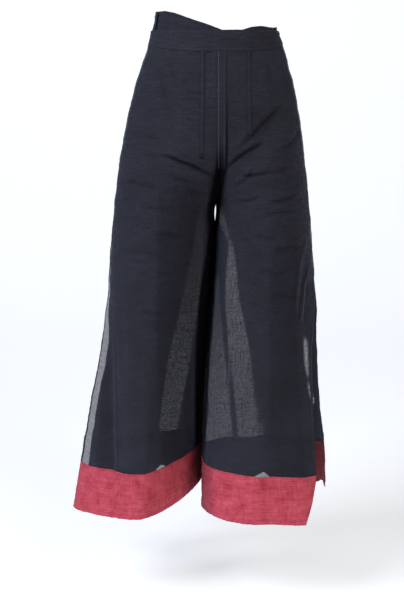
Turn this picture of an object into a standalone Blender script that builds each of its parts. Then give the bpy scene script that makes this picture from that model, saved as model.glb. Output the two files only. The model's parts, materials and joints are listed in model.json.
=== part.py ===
"""Wrap trousers with wide legs, open sides and contrasting hem bands, in their worn shape.

Metres, +Z up, the front faces -Y and +X is the wearer's left. The origin is the middle of the waist,
at the height of the front waistband's top edge. Each piece is a closed wall of cloth. A leg panel is a
grid of points: u runs round the leg from the inner edge (0) to the free side edge (1), and z runs down.
"""

import math
from collections import namedtuple

import bmesh
import bpy
from mathutils import Vector

# Wall thickness of each cloth
VOILE_WALL = 0.0014
BAND_WALL = 0.0020
WAIST_WALL = 0.0022
TIE_WALL = 0.0018
STRIP_WALL = 0.0010

# Clearances
SEAM = 0.0003
UNDER = 0.0056
LEG_PARTING = 0.0006
CROTCH_PARTING = 0.0030
LEG_LEAN = -0.050

# The way a front panel's free edge stands out from its section (out, back), and where round the leg
# (u) it starts to
FLARE_WAY = (0.93, 0.37)
FLARE_START = 0.72

# Where round the leg (u) a back panel's side goes in under the front panel's
UNDER_START = 0.36
UNDER_END = 0.68

# Heights
HEM_Z = {"right": -0.9160, "left": -0.9120}
BAND_DEPTH = {"right": 0.087, "left": 0.087}
WAIST_SEAM_Z = -0.0380
WAIST_SEAM_RISE = 0.0120
CROTCH_Z = -0.334
SPLIT_TOP_Z = -0.165

# Grid sizes
ROUND_CELLS = 16
BAND_ROWS = 3
SIDE_HEM = 0.008

# A section of one leg at a height: the plane between the legs and the outer reach (both x), how far it
# reaches to the front and the back, how square its corners are (2 is an ellipse), the angles where the
# front and back panels end (0 is the side line, plus is towards the panel's own middle), how far the
# front panel's free edge stands out from the section, and how far the inner side is swept back.
Section = namedtuple(
    "Section", "z inner reach front back square front_end back_end flare sweep"
)

RIGHT_LEG = (
    Section(0.045, 0.011, -0.119, 0.092, 0.088, 2.1, -16, -16, 0.000, 0.000),
    Section(0.000, 0.011, -0.127, 0.094, 0.090, 2.1, -16, -16, 0.000, 0.000),
    Section(-0.040, 0.011, -0.137, 0.101, 0.098, 2.1, -16, -16, 0.000, 0.000),
    Section(-0.100, 0.011, -0.158, 0.113, 0.112, 2.1, -16, -16, 0.000, 0.000),
    Section(-0.170, 0.012, -0.175, 0.121, 0.124, 2.1, -15, -15, 0.000, 0.000),
    Section(-0.240, 0.010, -0.189, 0.124, 0.130, 2.1, -13, -14, 0.000, 0.000),
    Section(-0.334, -0.003, -0.201, 0.126, 0.130, 2.1, -9, -12, 0.000, 0.002),
    Section(-0.430, -0.006, -0.209, 0.131, 0.122, 2.1, -4, -10, 0.001, 0.010),
    Section(-0.526, -0.012, -0.211, 0.138, 0.116, 2.2, 2, -8, 0.006, 0.028),
    Section(-0.620, -0.018, -0.220, 0.148, 0.112, 2.2, 10, -5, 0.014, 0.048),
    Section(-0.732, -0.024, -0.240, 0.163, 0.112, 2.2, 18, -3, 0.017, 0.072),
    Section(-0.830, -0.028, -0.256, 0.179, 0.118, 2.2, 24, -1, 0.022, 0.090),
    Section(-0.920, -0.030, -0.268, 0.188, 0.131, 2.2, 28, 0, 0.029, 0.100),
)
LEFT_LEG = (
    Section(0.045, 0.011, 0.110, 0.092, 0.088, 2.1, -16, -16, 0.000, 0.000),
    Section(0.000, 0.011, 0.116, 0.094, 0.090, 2.1, -16, -16, 0.000, 0.000),
    Section(-0.040, 0.011, 0.129, 0.101, 0.098, 2.1, -16, -16, 0.000, 0.000),
    Section(-0.100, 0.011, 0.146, 0.113, 0.112, 2.1, -16, -16, 0.000, 0.000),
    Section(-0.170, 0.012, 0.160, 0.121, 0.124, 2.1, -15, -15, 0.000, 0.000),
    Section(-0.240, 0.010, 0.169, 0.124, 0.130, 2.1, -13, -14, 0.000, 0.000),
    Section(-0.334, -0.003, 0.180, 0.126, 0.130, 2.1, -9, -12, 0.000, 0.000),
    Section(-0.430, -0.006, 0.187, 0.131, 0.122, 2.2, 4, -10, 0.000, 0.000),
    Section(-0.526, -0.012, 0.197, 0.139, 0.116, 2.4, 27, -8, 0.000, 0.000),
    Section(-0.620, -0.018, 0.199, 0.150, 0.112, 2.6, 37, -5, 0.000, 0.000),
    Section(-0.732, -0.024, 0.207, 0.167, 0.112, 2.8, 43, -3, 0.000, 0.000),
    Section(-0.830, -0.028, 0.218, 0.186, 0.118, 3.1, 50, -1, 0.000, 0.000),
    Section(-0.920, -0.028, 0.221, 0.190, 0.131, 3.4, 68, 0, 0.000, 0.000),
)
LEGS = {"right": RIGHT_LEG, "left": LEFT_LEG}
BODY_MIDDLE = -0.005

# How much lower than the hem's height a front panel's free side edge hangs, and how much higher the
# inner side hangs
CORNER_DROP = {"right": 0.000, "left": 0.016}
INSEAM_RAISE = {"right": 0.012, "left": 0.000}

# A soft fold on the front or back of a leg: it runs from one (x, z) to another, with its half width and
# its depth. A plus depth is a trough and a minus depth is a ridge.
Fold = namedtuple("Fold", "face x0 z0 x1 z1 width depth")
FOLDS = (
    Fold("front", -0.112, -0.236, -0.018, -0.276, 0.016, 0.0040),
    Fold("front", -0.090, -0.268, -0.030, -0.292, 0.018, -0.0030),
    Fold("front", 0.090, -0.206, 0.020, -0.272, 0.018, 0.0050),
    Fold("front", 0.134, -0.150, 0.062, -0.210, 0.024, 0.0045),
    Fold("front", 0.128, -0.294, 0.060, -0.306, 0.018, 0.0035),
    Fold("front", 0.150, -0.190, 0.112, -0.222, 0.018, -0.0030),
    Fold("front", 0.178, -0.450, 0.148, -0.560, 0.018, 0.0045),
    Fold("front", 0.148, -0.625, 0.120, -0.770, 0.022, 0.0060),
    Fold("front", 0.016, -0.600, 0.044, -0.760, 0.020, 0.0060),
    Fold("front", 0.082, -0.560, 0.078, -0.900, 0.030, -0.0050),
    Fold("front", -0.210, -0.560, -0.206, -0.900, 0.018, 0.0080),
    Fold("front", -0.150, -0.500, -0.140, -0.900, 0.032, -0.0050),
    Fold("front", -0.086, -0.640, -0.084, -0.900, 0.020, 0.0050),
    Fold("back", -0.120, -0.250, -0.030, -0.282, 0.020, 0.0045),
    Fold("back", 0.105, -0.246, 0.022, -0.284, 0.020, 0.0045),
    Fold("back", -0.140, -0.310, -0.050, -0.326, 0.018, 0.0035),
    Fold("back", 0.130, -0.306, 0.045, -0.322, 0.018, 0.0035),
    Fold("back", -0.196, -0.560, -0.206, -0.900, 0.020, 0.0060),
    Fold("back", -0.112, -0.520, -0.106, -0.900, 0.028, 0.0060),
    Fold("back", 0.066, -0.540, 0.060, -0.900, 0.026, 0.0060),
    Fold("back", 0.146, -0.600, 0.150, -0.900, 0.022, 0.0055),
)

# Heights of the rows of a leg panel: closer at the crotch, where the two legs part
PANEL_ROWS = (
    -0.068, -0.100, -0.132, -0.165, -0.190, -0.213, -0.235, -0.256, -0.276, -0.293, -0.308, -0.320,
    -0.329, -0.340, -0.360, -0.390, -0.425, -0.465, -0.510, -0.560, -0.610, -0.665, -0.720, -0.775,
)

# A strip that lies on the front panels: its middle (x) at the top and at the bottom, the height of its
# lower end, and its width
FrontStrip = namedtuple("FrontStrip", "name x_top x_bottom z_bottom width")
FRONT_STRIPS = (
    FrontStrip("centre_front_placket", 0.0065, 0.0065, -0.257, 0.016),
    FrontStrip("right_front_tuck", -0.0290, -0.0310, -0.236, 0.007),
    FrontStrip("left_front_tuck", 0.0560, 0.0580, -0.191, 0.007),
)
STRIP_LIFT = 0.0005
SIDE_HEM_LIFT = 0.0008

# The waistbands: how far their top edges stand over or under the origin's height, at the centre and at
# the sides. The back one is pulled up at the wearer's right.
FRONT_TOP_AT_SIDE = -0.0035
BACK_SEAM_Z = -0.0400
BACK_SEAM_AT_SIDE = {"right": -0.0040, "left": -0.0330}
BACK_BAND_DEPTH = 0.0370

# A tie round the waist, point by point: the angle past the side line, the heights of its edges, and how
# far it lies inside the section
TiePoint = namedtuple("TiePoint", "angle top bottom inside")
BACK_TIES = {
    "right": (
        TiePoint(16.4, 0.0330, -0.0036, 0.0056),
        TiePoint(32, 0.0345, -0.0036, 0.0056),
        TiePoint(48, 0.0310, -0.0060, 0.0056),
        TiePoint(63, 0.0230, -0.0130, 0.0056),
        TiePoint(83, 0.0108, -0.0230, 0.0056),
        TiePoint(96, -0.0006, -0.0320, 0.0056),
    ),
    "left": (
        TiePoint(16.4, 0.0030, -0.0320, 0.0056),
        TiePoint(28, 0.0045, -0.0310, 0.0056),
        TiePoint(42, 0.0070, -0.0290, 0.0056),
        TiePoint(55, 0.0055, -0.0300, 0.0056),
        TiePoint(66, 0.0000, -0.0330, 0.0056),
        TiePoint(83.6, -0.0060, -0.0350, 0.0056),
    ),
}
FRONT_TIE = (
    TiePoint(16.4, -0.0045, -0.0260, 0.0000),
    TiePoint(24, -0.0050, -0.0265, -0.0006),
    TiePoint(38, -0.0055, -0.0270, -0.0026),
    TiePoint(58, -0.0060, -0.0280, -0.0026),
    TiePoint(90, -0.0070, -0.0270, -0.0026),
)
TIE_CELLS = 12
TIE_ROWS = 2

# The knot at the centre back, and the two tails that hang from it
KNOT_HALF = (0.0170, 0.0085, 0.0130)
KNOT_Z = -0.0170
KNOT_SQUARE = 3.0
TAIL_TOP_GAP = 0.0008
TAIL_LENGTH = {"right": 0.105, "left": 0.088}
TAIL_WIDTH = 0.020
TAIL_MIDDLE = 0.0105
TAIL_TOP_SHARE = 0.7
TAIL_SPREAD = 0.020
TAIL_ROWS = 8
TAIL_LIFT = 0.0026

# Colours as linear RGB, with a roughness
VOILE_BLACK = (0.024, 0.024, 0.034)
CRIMSON = (0.480, 0.065, 0.100)


def clear_scene():
    for obj in list(bpy.data.objects):
        bpy.data.objects.remove(obj, do_unlink=True)


def cloth(name, colour, roughness):
    """A cloth material of one colour."""
    material = bpy.data.materials.new(name)
    material.use_nodes = True
    shader = material.node_tree.nodes["Principled BSDF"]
    shader.inputs["Base Color"].default_value = (*colour, 1.0)
    shader.inputs["Roughness"].default_value = roughness
    shader.inputs["Metallic"].default_value = 0.0
    material.diffuse_color = (*colour, 1.0)
    return material


def mix(a, b, t):
    return a + (b - a) * t


def smooth(low, high, value):
    """0 at low, 1 at high and an even S-curve between them."""
    t = min(1.0, max(0.0, (value - low) / (high - low)))
    return t * t * (3.0 - 2.0 * t)


def section_at(side, z):
    """The leg's section at a height, on a smooth curve through the table's rows."""
    rows = LEGS[side]
    z = min(rows[0].z, max(rows[-1].z, z))
    i = next(k for k in range(len(rows) - 1) if z >= rows[k + 1].z)
    a, b = rows[i], rows[i + 1]
    before, after = rows[max(i - 1, 0)], rows[min(i + 2, len(rows) - 1)]
    t = (z - a.z) / (b.z - a.z)
    span = b.z - a.z
    values = []
    for p, q, r, s in zip(before, a, b, after):
        start = (r - p) / (b.z - before.z) * span
        end = (s - q) / (after.z - a.z) * span
        values.append(
            (2 * t**3 - 3 * t**2 + 1) * q
            + (t**3 - 2 * t**2 + t) * start
            + (3 * t**2 - 2 * t**3) * r
            + (t**3 - t**2) * end
        )
    return Section(*values)


def split_at(z):
    """0 where the two legs share one hip section, 1 from the crotch down."""
    t = min(1.0, max(0.0, (SPLIT_TOP_Z - z) / (SPLIT_TOP_Z - CROTCH_Z)))
    return 1.0 - (1.0 - t) ** 1.6


def half_gap(z):
    """Half the space between the legs: a seam above the crotch, widest just below it."""
    below = mix(SEAM / 2, LEG_PARTING, smooth(CROTCH_Z, CROTCH_Z - 0.060, z))
    opening = smooth(CROTCH_Z, CROTCH_Z - 0.012, z) * (1.0 - smooth(CROTCH_Z - 0.025, CROTCH_Z - 0.070, z))
    return below + CROTCH_PARTING * opening


def lean_at(z):
    """How much the narrow space between the legs turns away from straight ahead."""
    return LEG_LEAN * smooth(CROTCH_Z - 0.015, CROTCH_Z - 0.055, z) * (1.0 - smooth(-0.720, -0.800, z))


def root_angle(part, square):
    """The angle whose cosine, rounded by the section's squareness, is this part of the radius."""
    part = min(1.0, max(-1.0, part))
    return math.acos(math.copysign(abs(part) ** (square / 2.0), part))


def fold_depth(face, x, z):
    """How far the folds press the cloth in at this place."""
    depth = 0.0
    for fold in FOLDS:
        if fold.face != face:
            continue
        dx, dz = fold.x1 - fold.x0, fold.z1 - fold.z0
        along = ((x - fold.x0) * dx + (z - fold.z0) * dz) / (dx * dx + dz * dz)
        near = min(1.0, max(0.0, along))
        off = math.hypot(x - fold.x0 - near * dx, z - fold.z0 - near * dz)
        depth += fold.depth * math.exp(-((off / fold.width) ** 2)) * smooth(-0.25, 0.35, along)
    return depth


def outward(angle, rx, ry, square):
    """The direction straight out of a section at an angle."""
    c, s = math.cos(angle), math.sin(angle)
    power = 2.0 * (square - 1.0) / square
    out = Vector(
        (
            math.copysign(abs(c) ** power, c) / rx,
            math.copysign(abs(s) ** power, s) / ry,
            0.0,
        )
    )
    return out.normalized()


def leg_point(side, face, u, z):
    """A point of a leg panel's outer surface, with the section's own angle and outward direction."""
    sign = 1.0 if side == "left" else -1.0
    row = section_at(side, z)
    reach, inner = sign * row.reach, sign * row.inner + half_gap(z)
    split = split_at(z)
    middle = mix(sign * BODY_MIDDLE, (inner + reach) / 2.0, split)
    rx = reach - middle
    start = root_angle((inner - middle) / rx, row.square)
    end = math.radians(row.front_end if face == "front" else row.back_end)
    angle = mix(start, end, u)
    own, other = (row.front, row.back) if face == "front" else (row.back, row.front)
    ry = own if angle > 0 else other
    c, s = math.cos(angle), math.sin(angle)
    power = 2.0 / row.square
    x = middle + rx * math.copysign(abs(c) ** power, c)
    y = ry * math.copysign(abs(s) ** power, s)
    out = outward(angle, rx, ry, row.square)
    if face == "back":
        under = UNDER * smooth(UNDER_START, UNDER_END, u)
        x -= out.x * under
        y -= out.y * under
    else:
        stand = row.flare * smooth(FLARE_START, 1.0, u)
        x += FLARE_WAY[0] * stand
        y += FLARE_WAY[1] * stand
    pressed = fold_depth(face, sign * x, z) * smooth(0.0, 0.10, u)
    x -= out.x * pressed
    y -= out.y * pressed
    toward = -1.0 if face == "front" else 1.0
    inward = max(0.0, (middle - x) / rx) * split
    seam = SEAM / 2 * (1.0 - smooth(0.0, 0.05, u)) if split >= 1.0 else 0.0
    y = toward * (y + seam) + row.sweep * inward**1.3
    x += sign * lean_at(z) * y * inward**2
    fall = z / HEM_Z[side]
    height = z + INSEAM_RAISE[side] * inward * fall**4
    if face == "front":
        height -= CORNER_DROP[side] * smooth(0.35, 1.0, u) * fall**2
    return Vector((sign * x, y, height))


def leg_normal(side, face, u, z, level):
    """The direction out of a leg panel, kept level along a seam."""
    step_u, step_z = 0.004, 0.0015
    across = leg_point(side, face, u + step_u, z) - leg_point(side, face, u - step_u, z)
    down = leg_point(side, face, u, z - step_z) - leg_point(side, face, u, z + step_z)
    normal = across.cross(down)
    if level:
        normal.z = 0.0
    normal.normalize()
    row = section_at(side, z)
    middle = (row.inner + row.reach) / 2.0 if split_at(z) > 0.5 else BODY_MIDDLE
    point = leg_point(side, face, u, z)
    if normal.dot(Vector((point.x - middle, point.y, 0.0))) < 0.0:
        normal.negate()
    return normal


def front_seam(u):
    """The height of the front waist seam: lowest at the centre."""
    return WAIST_SEAM_Z + WAIST_SEAM_RISE * smooth(0.15, 0.95, u)


def back_seam(side, u):
    """The height of the back waist seam, which climbs towards the wearer's right side."""
    return mix(BACK_SEAM_Z, BACK_SEAM_AT_SIDE[side], smooth(0.20, 0.95, u))


def waist_seam(side, face, u):
    return front_seam(u) if face == "front" else back_seam(side, u)


def waist_top(side, face, u):
    """The height of a waistband's top edge."""
    if face == "front":
        return FRONT_TOP_AT_SIDE * smooth(0.3, 1.0, u)
    return back_seam(side, u) + BACK_BAND_DEPTH


def leg_grid(side, face, heights):
    """Points and normals for rows of heights, each a function of u. The first and last are level."""
    points, normals = [], []
    for i, height in enumerate(heights):
        level = i in (0, len(heights) - 1)
        us = [j / ROUND_CELLS for j in range(ROUND_CELLS + 1)]
        points.append([leg_point(side, face, u, height(u)) for u in us])
        normals.append([leg_normal(side, face, u, height(u), level) for u in us])
    return points, normals


def panel_grid(side, face):
    """The grid of a leg panel from the waist seam to the hem band's seam."""
    heights = [lambda u: waist_seam(side, face, u) - SEAM / 2]
    heights += [lambda u, z=z: z for z in PANEL_ROWS]
    heights.append(lambda u: HEM_Z[side] + BAND_DEPTH[side] + SEAM / 2)
    return leg_grid(side, face, heights)


def hem_grid(side, face):
    """The grid of a hem band."""
    top = HEM_Z[side] + BAND_DEPTH[side] - SEAM / 2
    rows = [mix(top, HEM_Z[side], i / BAND_ROWS) for i in range(BAND_ROWS + 1)]
    return leg_grid(side, face, [lambda u, z=z: z for z in rows])


def waistband_grid(face):
    """The grid of a waistband, from the wearer's right side over the middle to the left side."""
    points, normals = [], []
    right = leg_band_rows("right", face)
    left = leg_band_rows("left", face)
    for (right_points, right_normals), (left_points, left_normals) in zip(right, left):
        points.append(right_points[:0:-1] + left_points)
        normals.append(right_normals[:0:-1] + left_normals)
    return points, normals


def leg_band_rows(side, face):
    """One side's rows of a waistband: its top edge, its middle and its lower edge."""
    rows = []
    for part in (0.0, 0.5, 1.0):
        points, normals = [], []
        for j in range(ROUND_CELLS + 1):
            u = j / ROUND_CELLS
            low = waist_seam(side, face, u) + SEAM / 2
            z = mix(waist_top(side, face, u), low, part)
            points.append(leg_point(side, face, u, z))
            normals.append(leg_normal(side, face, u, z, True))
        rows.append((points, normals))
    return rows


def ring_point(side, face, angle, z, inside):
    """A point of the waist's ring, past the side line by an angle, and its outward direction."""
    sign = 1.0 if side == "left" else -1.0
    toward = -1.0 if face == "front" else 1.0
    row = section_at(side, z)
    middle = sign * BODY_MIDDLE
    ry = row.front if face == "front" else row.back
    rx = sign * row.reach - middle
    if angle > 90.0:
        far = section_at("right" if side == "left" else "left", z)
        rx = -sign * far.reach + middle
    a = math.radians(angle)
    c, s = math.cos(a), math.sin(a)
    power = 2.0 / row.square
    out = outward(a, rx, ry, row.square)
    x = middle + rx * math.copysign(abs(c) ** power, c) - out.x * inside
    y = ry * abs(s) ** power - out.y * inside
    return Vector((sign * x, toward * y, z)), Vector((sign * out.x, toward * out.y, 0.0))


def between(table, angle):
    """The row of a tie at an angle, straight between the table's rows."""
    i = next(k for k in range(len(table) - 1) if angle <= table[k + 1].angle or k == len(table) - 2)
    a, b = table[i], table[i + 1]
    t = (angle - a.angle) / (b.angle - a.angle)
    return TiePoint(*(mix(p, q, t) for p, q in zip(a, b)))


def tie_grid(side, face, table, last):
    """The grid of a tie round the waist, up to its last angle."""
    angles = [mix(table[0].angle, last, j / TIE_CELLS) for j in range(TIE_CELLS + 1)]
    points, normals = [], []
    for i in range(TIE_ROWS + 1):
        pairs = []
        for angle in angles:
            row = between(table, angle)
            z = mix(row.top, row.bottom, i / TIE_ROWS)
            pairs.append(ring_point(side, face, angle, z, row.inside))
        points.append([point for point, _ in pairs])
        normals.append([normal for _, normal in pairs])
    return points, normals


def knot_angle(side):
    """The angle past the side line at which a front tie meets the knot."""
    row = section_at(side, KNOT_Z)
    return math.degrees(root_angle((KNOT_HALF[0] + SEAM) / abs(row.reach - BODY_MIDDLE), row.square))


def tail_grid(side):
    """The grid of a tail, which hangs from the knot over the back waistband."""
    sign = 1.0 if side == "left" else -1.0
    top = KNOT_Z - KNOT_HALF[2] - TAIL_TOP_GAP
    points, normals = [], []
    for i in range(TAIL_ROWS + 1):
        t = i / TAIL_ROWS
        z = top - t * TAIL_LENGTH[side]
        row = section_at(side, z)
        rx = sign * row.reach - sign * BODY_MIDDLE
        middle = TAIL_MIDDLE + TAIL_SPREAD * smooth(0.0, 1.0, t)
        pairs = []
        for edge in (-0.5, 0.0, 0.5):
            part = (middle + edge * mix(TAIL_TOP_SHARE, 1.0, smooth(0.0, 0.4, t)) * TAIL_WIDTH) / rx
            angle = math.degrees(root_angle(part, row.square))
            pairs.append(ring_point(side, "back", angle, z, -TAIL_LIFT))
        points.append([point for point, _ in pairs])
        normals.append([normal for _, normal in pairs])
    return points, normals


def solid(name, points, normals, thickness, material):
    """A closed wall: the grid's points outside, and the same points moved in along the normals."""
    rows, columns = len(points), len(points[0])
    mesh = bpy.data.meshes.new(name)
    bm = bmesh.new()
    outer = [[bm.verts.new(p) for p in row] for row in points]
    inner = [
        [bm.verts.new(p - n * thickness) for p, n in zip(row, directions)]
        for row, directions in zip(points, normals)
    ]
    for i in range(rows - 1):
        for j in range(columns - 1):
            a, b = outer[i][j], outer[i][j + 1]
            c, d = outer[i + 1][j + 1], outer[i + 1][j]
            bm.faces.new((a, b, c, d))
            a, b = inner[i][j], inner[i][j + 1]
            c, d = inner[i + 1][j + 1], inner[i + 1][j]
            bm.faces.new((d, c, b, a))
    rim = [(0, j) for j in range(columns)]
    rim += [(i, columns - 1) for i in range(1, rows)]
    rim += [(rows - 1, j) for j in range(columns - 2, -1, -1)]
    rim += [(i, 0) for i in range(rows - 2, 0, -1)]
    for (i, j), (k, m) in zip(rim, rim[1:] + rim[:1]):
        bm.faces.new((outer[i][j], inner[i][j], inner[k][m], outer[k][m]))
    bmesh.ops.triangulate(bm, faces=bm.faces, quad_method="FIXED")
    bmesh.ops.recalc_face_normals(bm, faces=bm.faces)
    bm.to_mesh(mesh)
    bm.free()
    return place(name, mesh, material)


def place(name, mesh, material):
    mesh.materials.append(material)
    mesh.shade_smooth()
    mesh.set_sharp_from_angle(angle=math.radians(40))
    obj = bpy.data.objects.new(name, mesh)
    bpy.context.scene.collection.objects.link(obj)
    return obj


def side_hem(name, points, normals, wall_thickness, material):
    """The narrow hem that is turned in along a panel's free edge."""
    strip_points, strip_normals = [], []
    for row, directions in zip(points, normals):
        edge, before = row[-1], row[-2]
        part = min(0.9, SIDE_HEM / (edge - before).length)
        n = directions[-1]
        m = directions[-1].lerp(directions[-2], part).normalized()
        lift = wall_thickness + SIDE_HEM_LIFT
        strip_points.append([edge - n * lift, edge.lerp(before, part) - m * lift])
        strip_normals.append([n, m])
    return solid(name, strip_points, strip_normals, STRIP_WALL, material)


def on_row(row, directions, x):
    """The place on a row of points where it crosses x, and the direction out of the cloth there."""
    j = next(k for k in range(len(row) - 1) if row[k].x <= x <= row[k + 1].x)
    part = (x - row[j].x) / (row[j + 1].x - row[j].x)
    return row[j].lerp(row[j + 1], part), directions[j].lerp(directions[j + 1], part).normalized()


def front_strip(strip, right, left, material):
    """A strip on the two front panels, made from their own points moved out."""
    half = ROUND_CELLS // 2
    points, normals = [], []
    heights = [WAIST_SEAM_Z, *PANEL_ROWS]
    for i, z in enumerate(heights):
        if z < strip.z_bottom:
            break
        row = right[0][i][half:0:-1] + left[0][i][: half + 1]
        directions = right[1][i][half:0:-1] + left[1][i][: half + 1]
        middle = mix(strip.x_top, strip.x_bottom, (z - WAIST_SEAM_Z) / (strip.z_bottom - WAIST_SEAM_Z))
        pairs = [on_row(row, directions, middle + k * strip.width / 2) for k in (-1, 0, 1)]
        lift = STRIP_LIFT + STRIP_WALL
        points.append([p + n * lift for p, n in pairs])
        normals.append([n for _, n in pairs])
    return solid(strip.name, points, normals, STRIP_WALL, material)


def knot(name, material):
    """The tie's knot: a rounded lump that follows the slope of the waist."""
    mesh = bpy.data.meshes.new(name)
    bm = bmesh.new()
    bmesh.ops.create_uvsphere(bm, u_segments=16, v_segments=8, radius=1.0)
    power = 2.0 / KNOT_SQUARE
    for vert in bm.verts:
        x, y, z = (math.copysign(abs(c) ** power, c) * half for c, half in zip(vert.co, KNOT_HALF))
        waist = section_at("left", KNOT_Z + z).back
        vert.co = (BODY_MIDDLE + x, waist + 2 * SEAM + KNOT_HALF[1] + y, KNOT_Z + z)
    bmesh.ops.triangulate(bm, faces=bm.faces)
    bmesh.ops.recalc_face_normals(bm, faces=bm.faces)
    bm.to_mesh(mesh)
    bm.free()
    return place(name, mesh, material)


def main():
    clear_scene()
    voile = cloth("navy_black_voile", VOILE_BLACK, 0.85)
    crimson = cloth("crimson_cotton", CRIMSON, 0.85)
    panels = {}
    for side in LEGS:
        for face in ("front", "back"):
            grid = panel_grid(side, face)
            panels[side, face] = grid
            solid(f"{side}_{face}_leg", *grid, VOILE_WALL, voile)
            solid(f"{side}_{face}_hem_band", *hem_grid(side, face), BAND_WALL, crimson)
            side_hem(f"{side}_{face}_side_hem", *grid, VOILE_WALL, voile)
        back_tie = tie_grid(side, "front", BACK_TIES[side], BACK_TIES[side][-1].angle)
        solid(f"{side}_back_tie", *back_tie, TIE_WALL, voile)
        front_tie = tie_grid(side, "back", FRONT_TIE, knot_angle(side))
        solid(f"{side}_front_tie", *front_tie, TIE_WALL, voile)
        solid(f"{side}_tie_tail", *tail_grid(side), TIE_WALL, voile)
    for face in ("front", "back"):
        solid(f"{face}_waistband", *waistband_grid(face), WAIST_WALL, voile)
    for strip in FRONT_STRIPS:
        front_strip(strip, panels["right", "front"], panels["left", "front"], voile)
    knot("tie_knot", voile)


main()
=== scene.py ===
# %% [markdown]
# # Wrap trousers in sheer cotton voile
#
# This lesson dresses a plain construction model of wide-legged wrap trousers. The real pair is sewn from
# thin navy-black cotton voile, with crimson cotton bands at the hems, and it is shown as it hangs when
# worn. The construction model is loaded first, because every cloth that follows lies on its form. The
# sizes that shape it are stated again here, since a lesson should be readable on its own.

# %% Load the construction model
import json
import math
from collections import namedtuple

import bmesh
import bpy
import numpy as np
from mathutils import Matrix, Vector, noise

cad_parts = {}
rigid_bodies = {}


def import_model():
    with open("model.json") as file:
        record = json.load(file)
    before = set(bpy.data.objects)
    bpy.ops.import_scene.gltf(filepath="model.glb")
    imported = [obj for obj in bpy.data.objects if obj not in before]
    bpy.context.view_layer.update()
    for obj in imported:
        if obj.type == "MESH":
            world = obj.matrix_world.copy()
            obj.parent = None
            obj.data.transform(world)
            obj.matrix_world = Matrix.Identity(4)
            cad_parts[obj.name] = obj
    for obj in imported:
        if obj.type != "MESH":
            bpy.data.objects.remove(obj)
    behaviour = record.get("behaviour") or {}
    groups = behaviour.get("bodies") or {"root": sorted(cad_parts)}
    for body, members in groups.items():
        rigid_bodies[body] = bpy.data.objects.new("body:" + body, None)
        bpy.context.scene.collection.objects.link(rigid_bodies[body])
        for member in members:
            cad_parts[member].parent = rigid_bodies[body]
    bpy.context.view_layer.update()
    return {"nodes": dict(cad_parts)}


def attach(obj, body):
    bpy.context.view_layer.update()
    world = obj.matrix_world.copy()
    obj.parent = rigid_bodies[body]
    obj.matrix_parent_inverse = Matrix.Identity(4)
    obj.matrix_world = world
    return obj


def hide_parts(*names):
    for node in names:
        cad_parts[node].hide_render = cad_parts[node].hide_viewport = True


for leftover in list(bpy.data.objects):
    bpy.data.objects.remove(leftover, do_unlink=True)
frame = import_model()
BODY = "root"
print("nodes in the model:", len(frame["nodes"]))

# %% [markdown]
# ## Camera
#
# The camera stands three metres off at the height of the waist and looks a little down, so the hems are
# seen from above and the floor rises behind the legs. A long lens keeps the legs from spreading.

# %% Place the camera
CAMERA_PLACE = (-0.030, -3.000, 0.030)
CAMERA_PITCH = 10.5
LENS = 92.7
SENSOR = 36.0

camera = bpy.data.objects.new("camera", bpy.data.cameras.new("camera"))
bpy.context.scene.collection.objects.link(camera)
camera.location = CAMERA_PLACE
camera.rotation_euler = (math.radians(90.0 - CAMERA_PITCH), 0.0, 0.0)
camera.data.lens = LENS
camera.data.sensor_width = SENSOR
bpy.context.scene.camera = camera

# %% [markdown]
# ## Colour
#
# Colours are written as the hex values that a paint program shows, and one function turns them into the
# linear light that the shaders add up. The standard view shows them back without a film curve, as a
# product photograph on white does.

# %% Turn hex colours into linear light
def linear(code):
    """The linear colour of an sRGB hex value."""
    parts = [int(code[i : i + 2], 16) / 255.0 for i in (1, 3, 5)]
    parts = [p / 12.92 if p <= 0.04045 else ((p + 0.055) / 1.055) ** 2.4 for p in parts]
    return (*parts, 1.0)


bpy.context.scene.view_settings.view_transform = "Standard"
bpy.context.scene.view_settings.look = "None"

# %% [markdown]
# ## Nodes
#
# A material is a small graph. Adding a node, setting its values and linking its inputs is the same job
# each time, so one function does all three: a plain value sets an input, and an output joins it.

# %% Add a node with its settings and links
def add(tree, kind, settings=None, **inputs):
    """A new node: settings are its own properties, and inputs are values or other nodes' outputs."""
    node = tree.nodes.new(kind)
    for name, value in (settings or {}).items():
        setattr(node, name, value)
    for name, value in inputs.items():
        key = int(name[1:]) if name[0] == "_" else name.replace("_", " ")
        if isinstance(value, bpy.types.NodeSocket):
            tree.links.new(value, node.inputs[key])
        else:
            node.inputs[key].default_value = value
    return node


def new_material(title, **inputs):
    """A material with its tree and its Principled shader, whose inputs take the given values."""
    material = bpy.data.materials.new(title)
    material.use_nodes = True
    shader = material.node_tree.nodes["Principled BSDF"]
    for name, value in inputs.items():
        shader.inputs[name.replace("_", " ")].default_value = value
    return material, material.node_tree, shader


# %% [markdown]
# ## Floor and studio
#
# The trousers hang clear of the floor, at the height at which they are worn. The floor is a pale paper
# sweep: flat under the legs, then curved up behind, so no horizon shows. It is no wider than the view,
# because every bit of glowing paper beside the legs would wash their folds out.

# %% Lay the paper sweep
FLOOR_Z = -1.090
SWEEP_WIDTH = 3.4
SWEEP_FRONT = -0.7
SWEEP_BACK = 2.4
SWEEP_RADIUS = 1.5
SWEEP_TOP = 1.4
SWEEP_ARC_STEPS = 24
PAPER_GLOW = 0.525


def sweep_profile():
    """The sweep's side view, from the front edge over the curve to the top."""
    profile = [(SWEEP_FRONT, FLOOR_Z), (SWEEP_BACK, FLOOR_Z)]
    for i in range(1, SWEEP_ARC_STEPS + 1):
        a = math.pi / 2 * i / SWEEP_ARC_STEPS
        profile.append((SWEEP_BACK + SWEEP_RADIUS * math.sin(a), FLOOR_Z + SWEEP_RADIUS * (1 - math.cos(a))))
    profile.append((SWEEP_BACK + SWEEP_RADIUS, SWEEP_TOP))
    return profile


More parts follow.
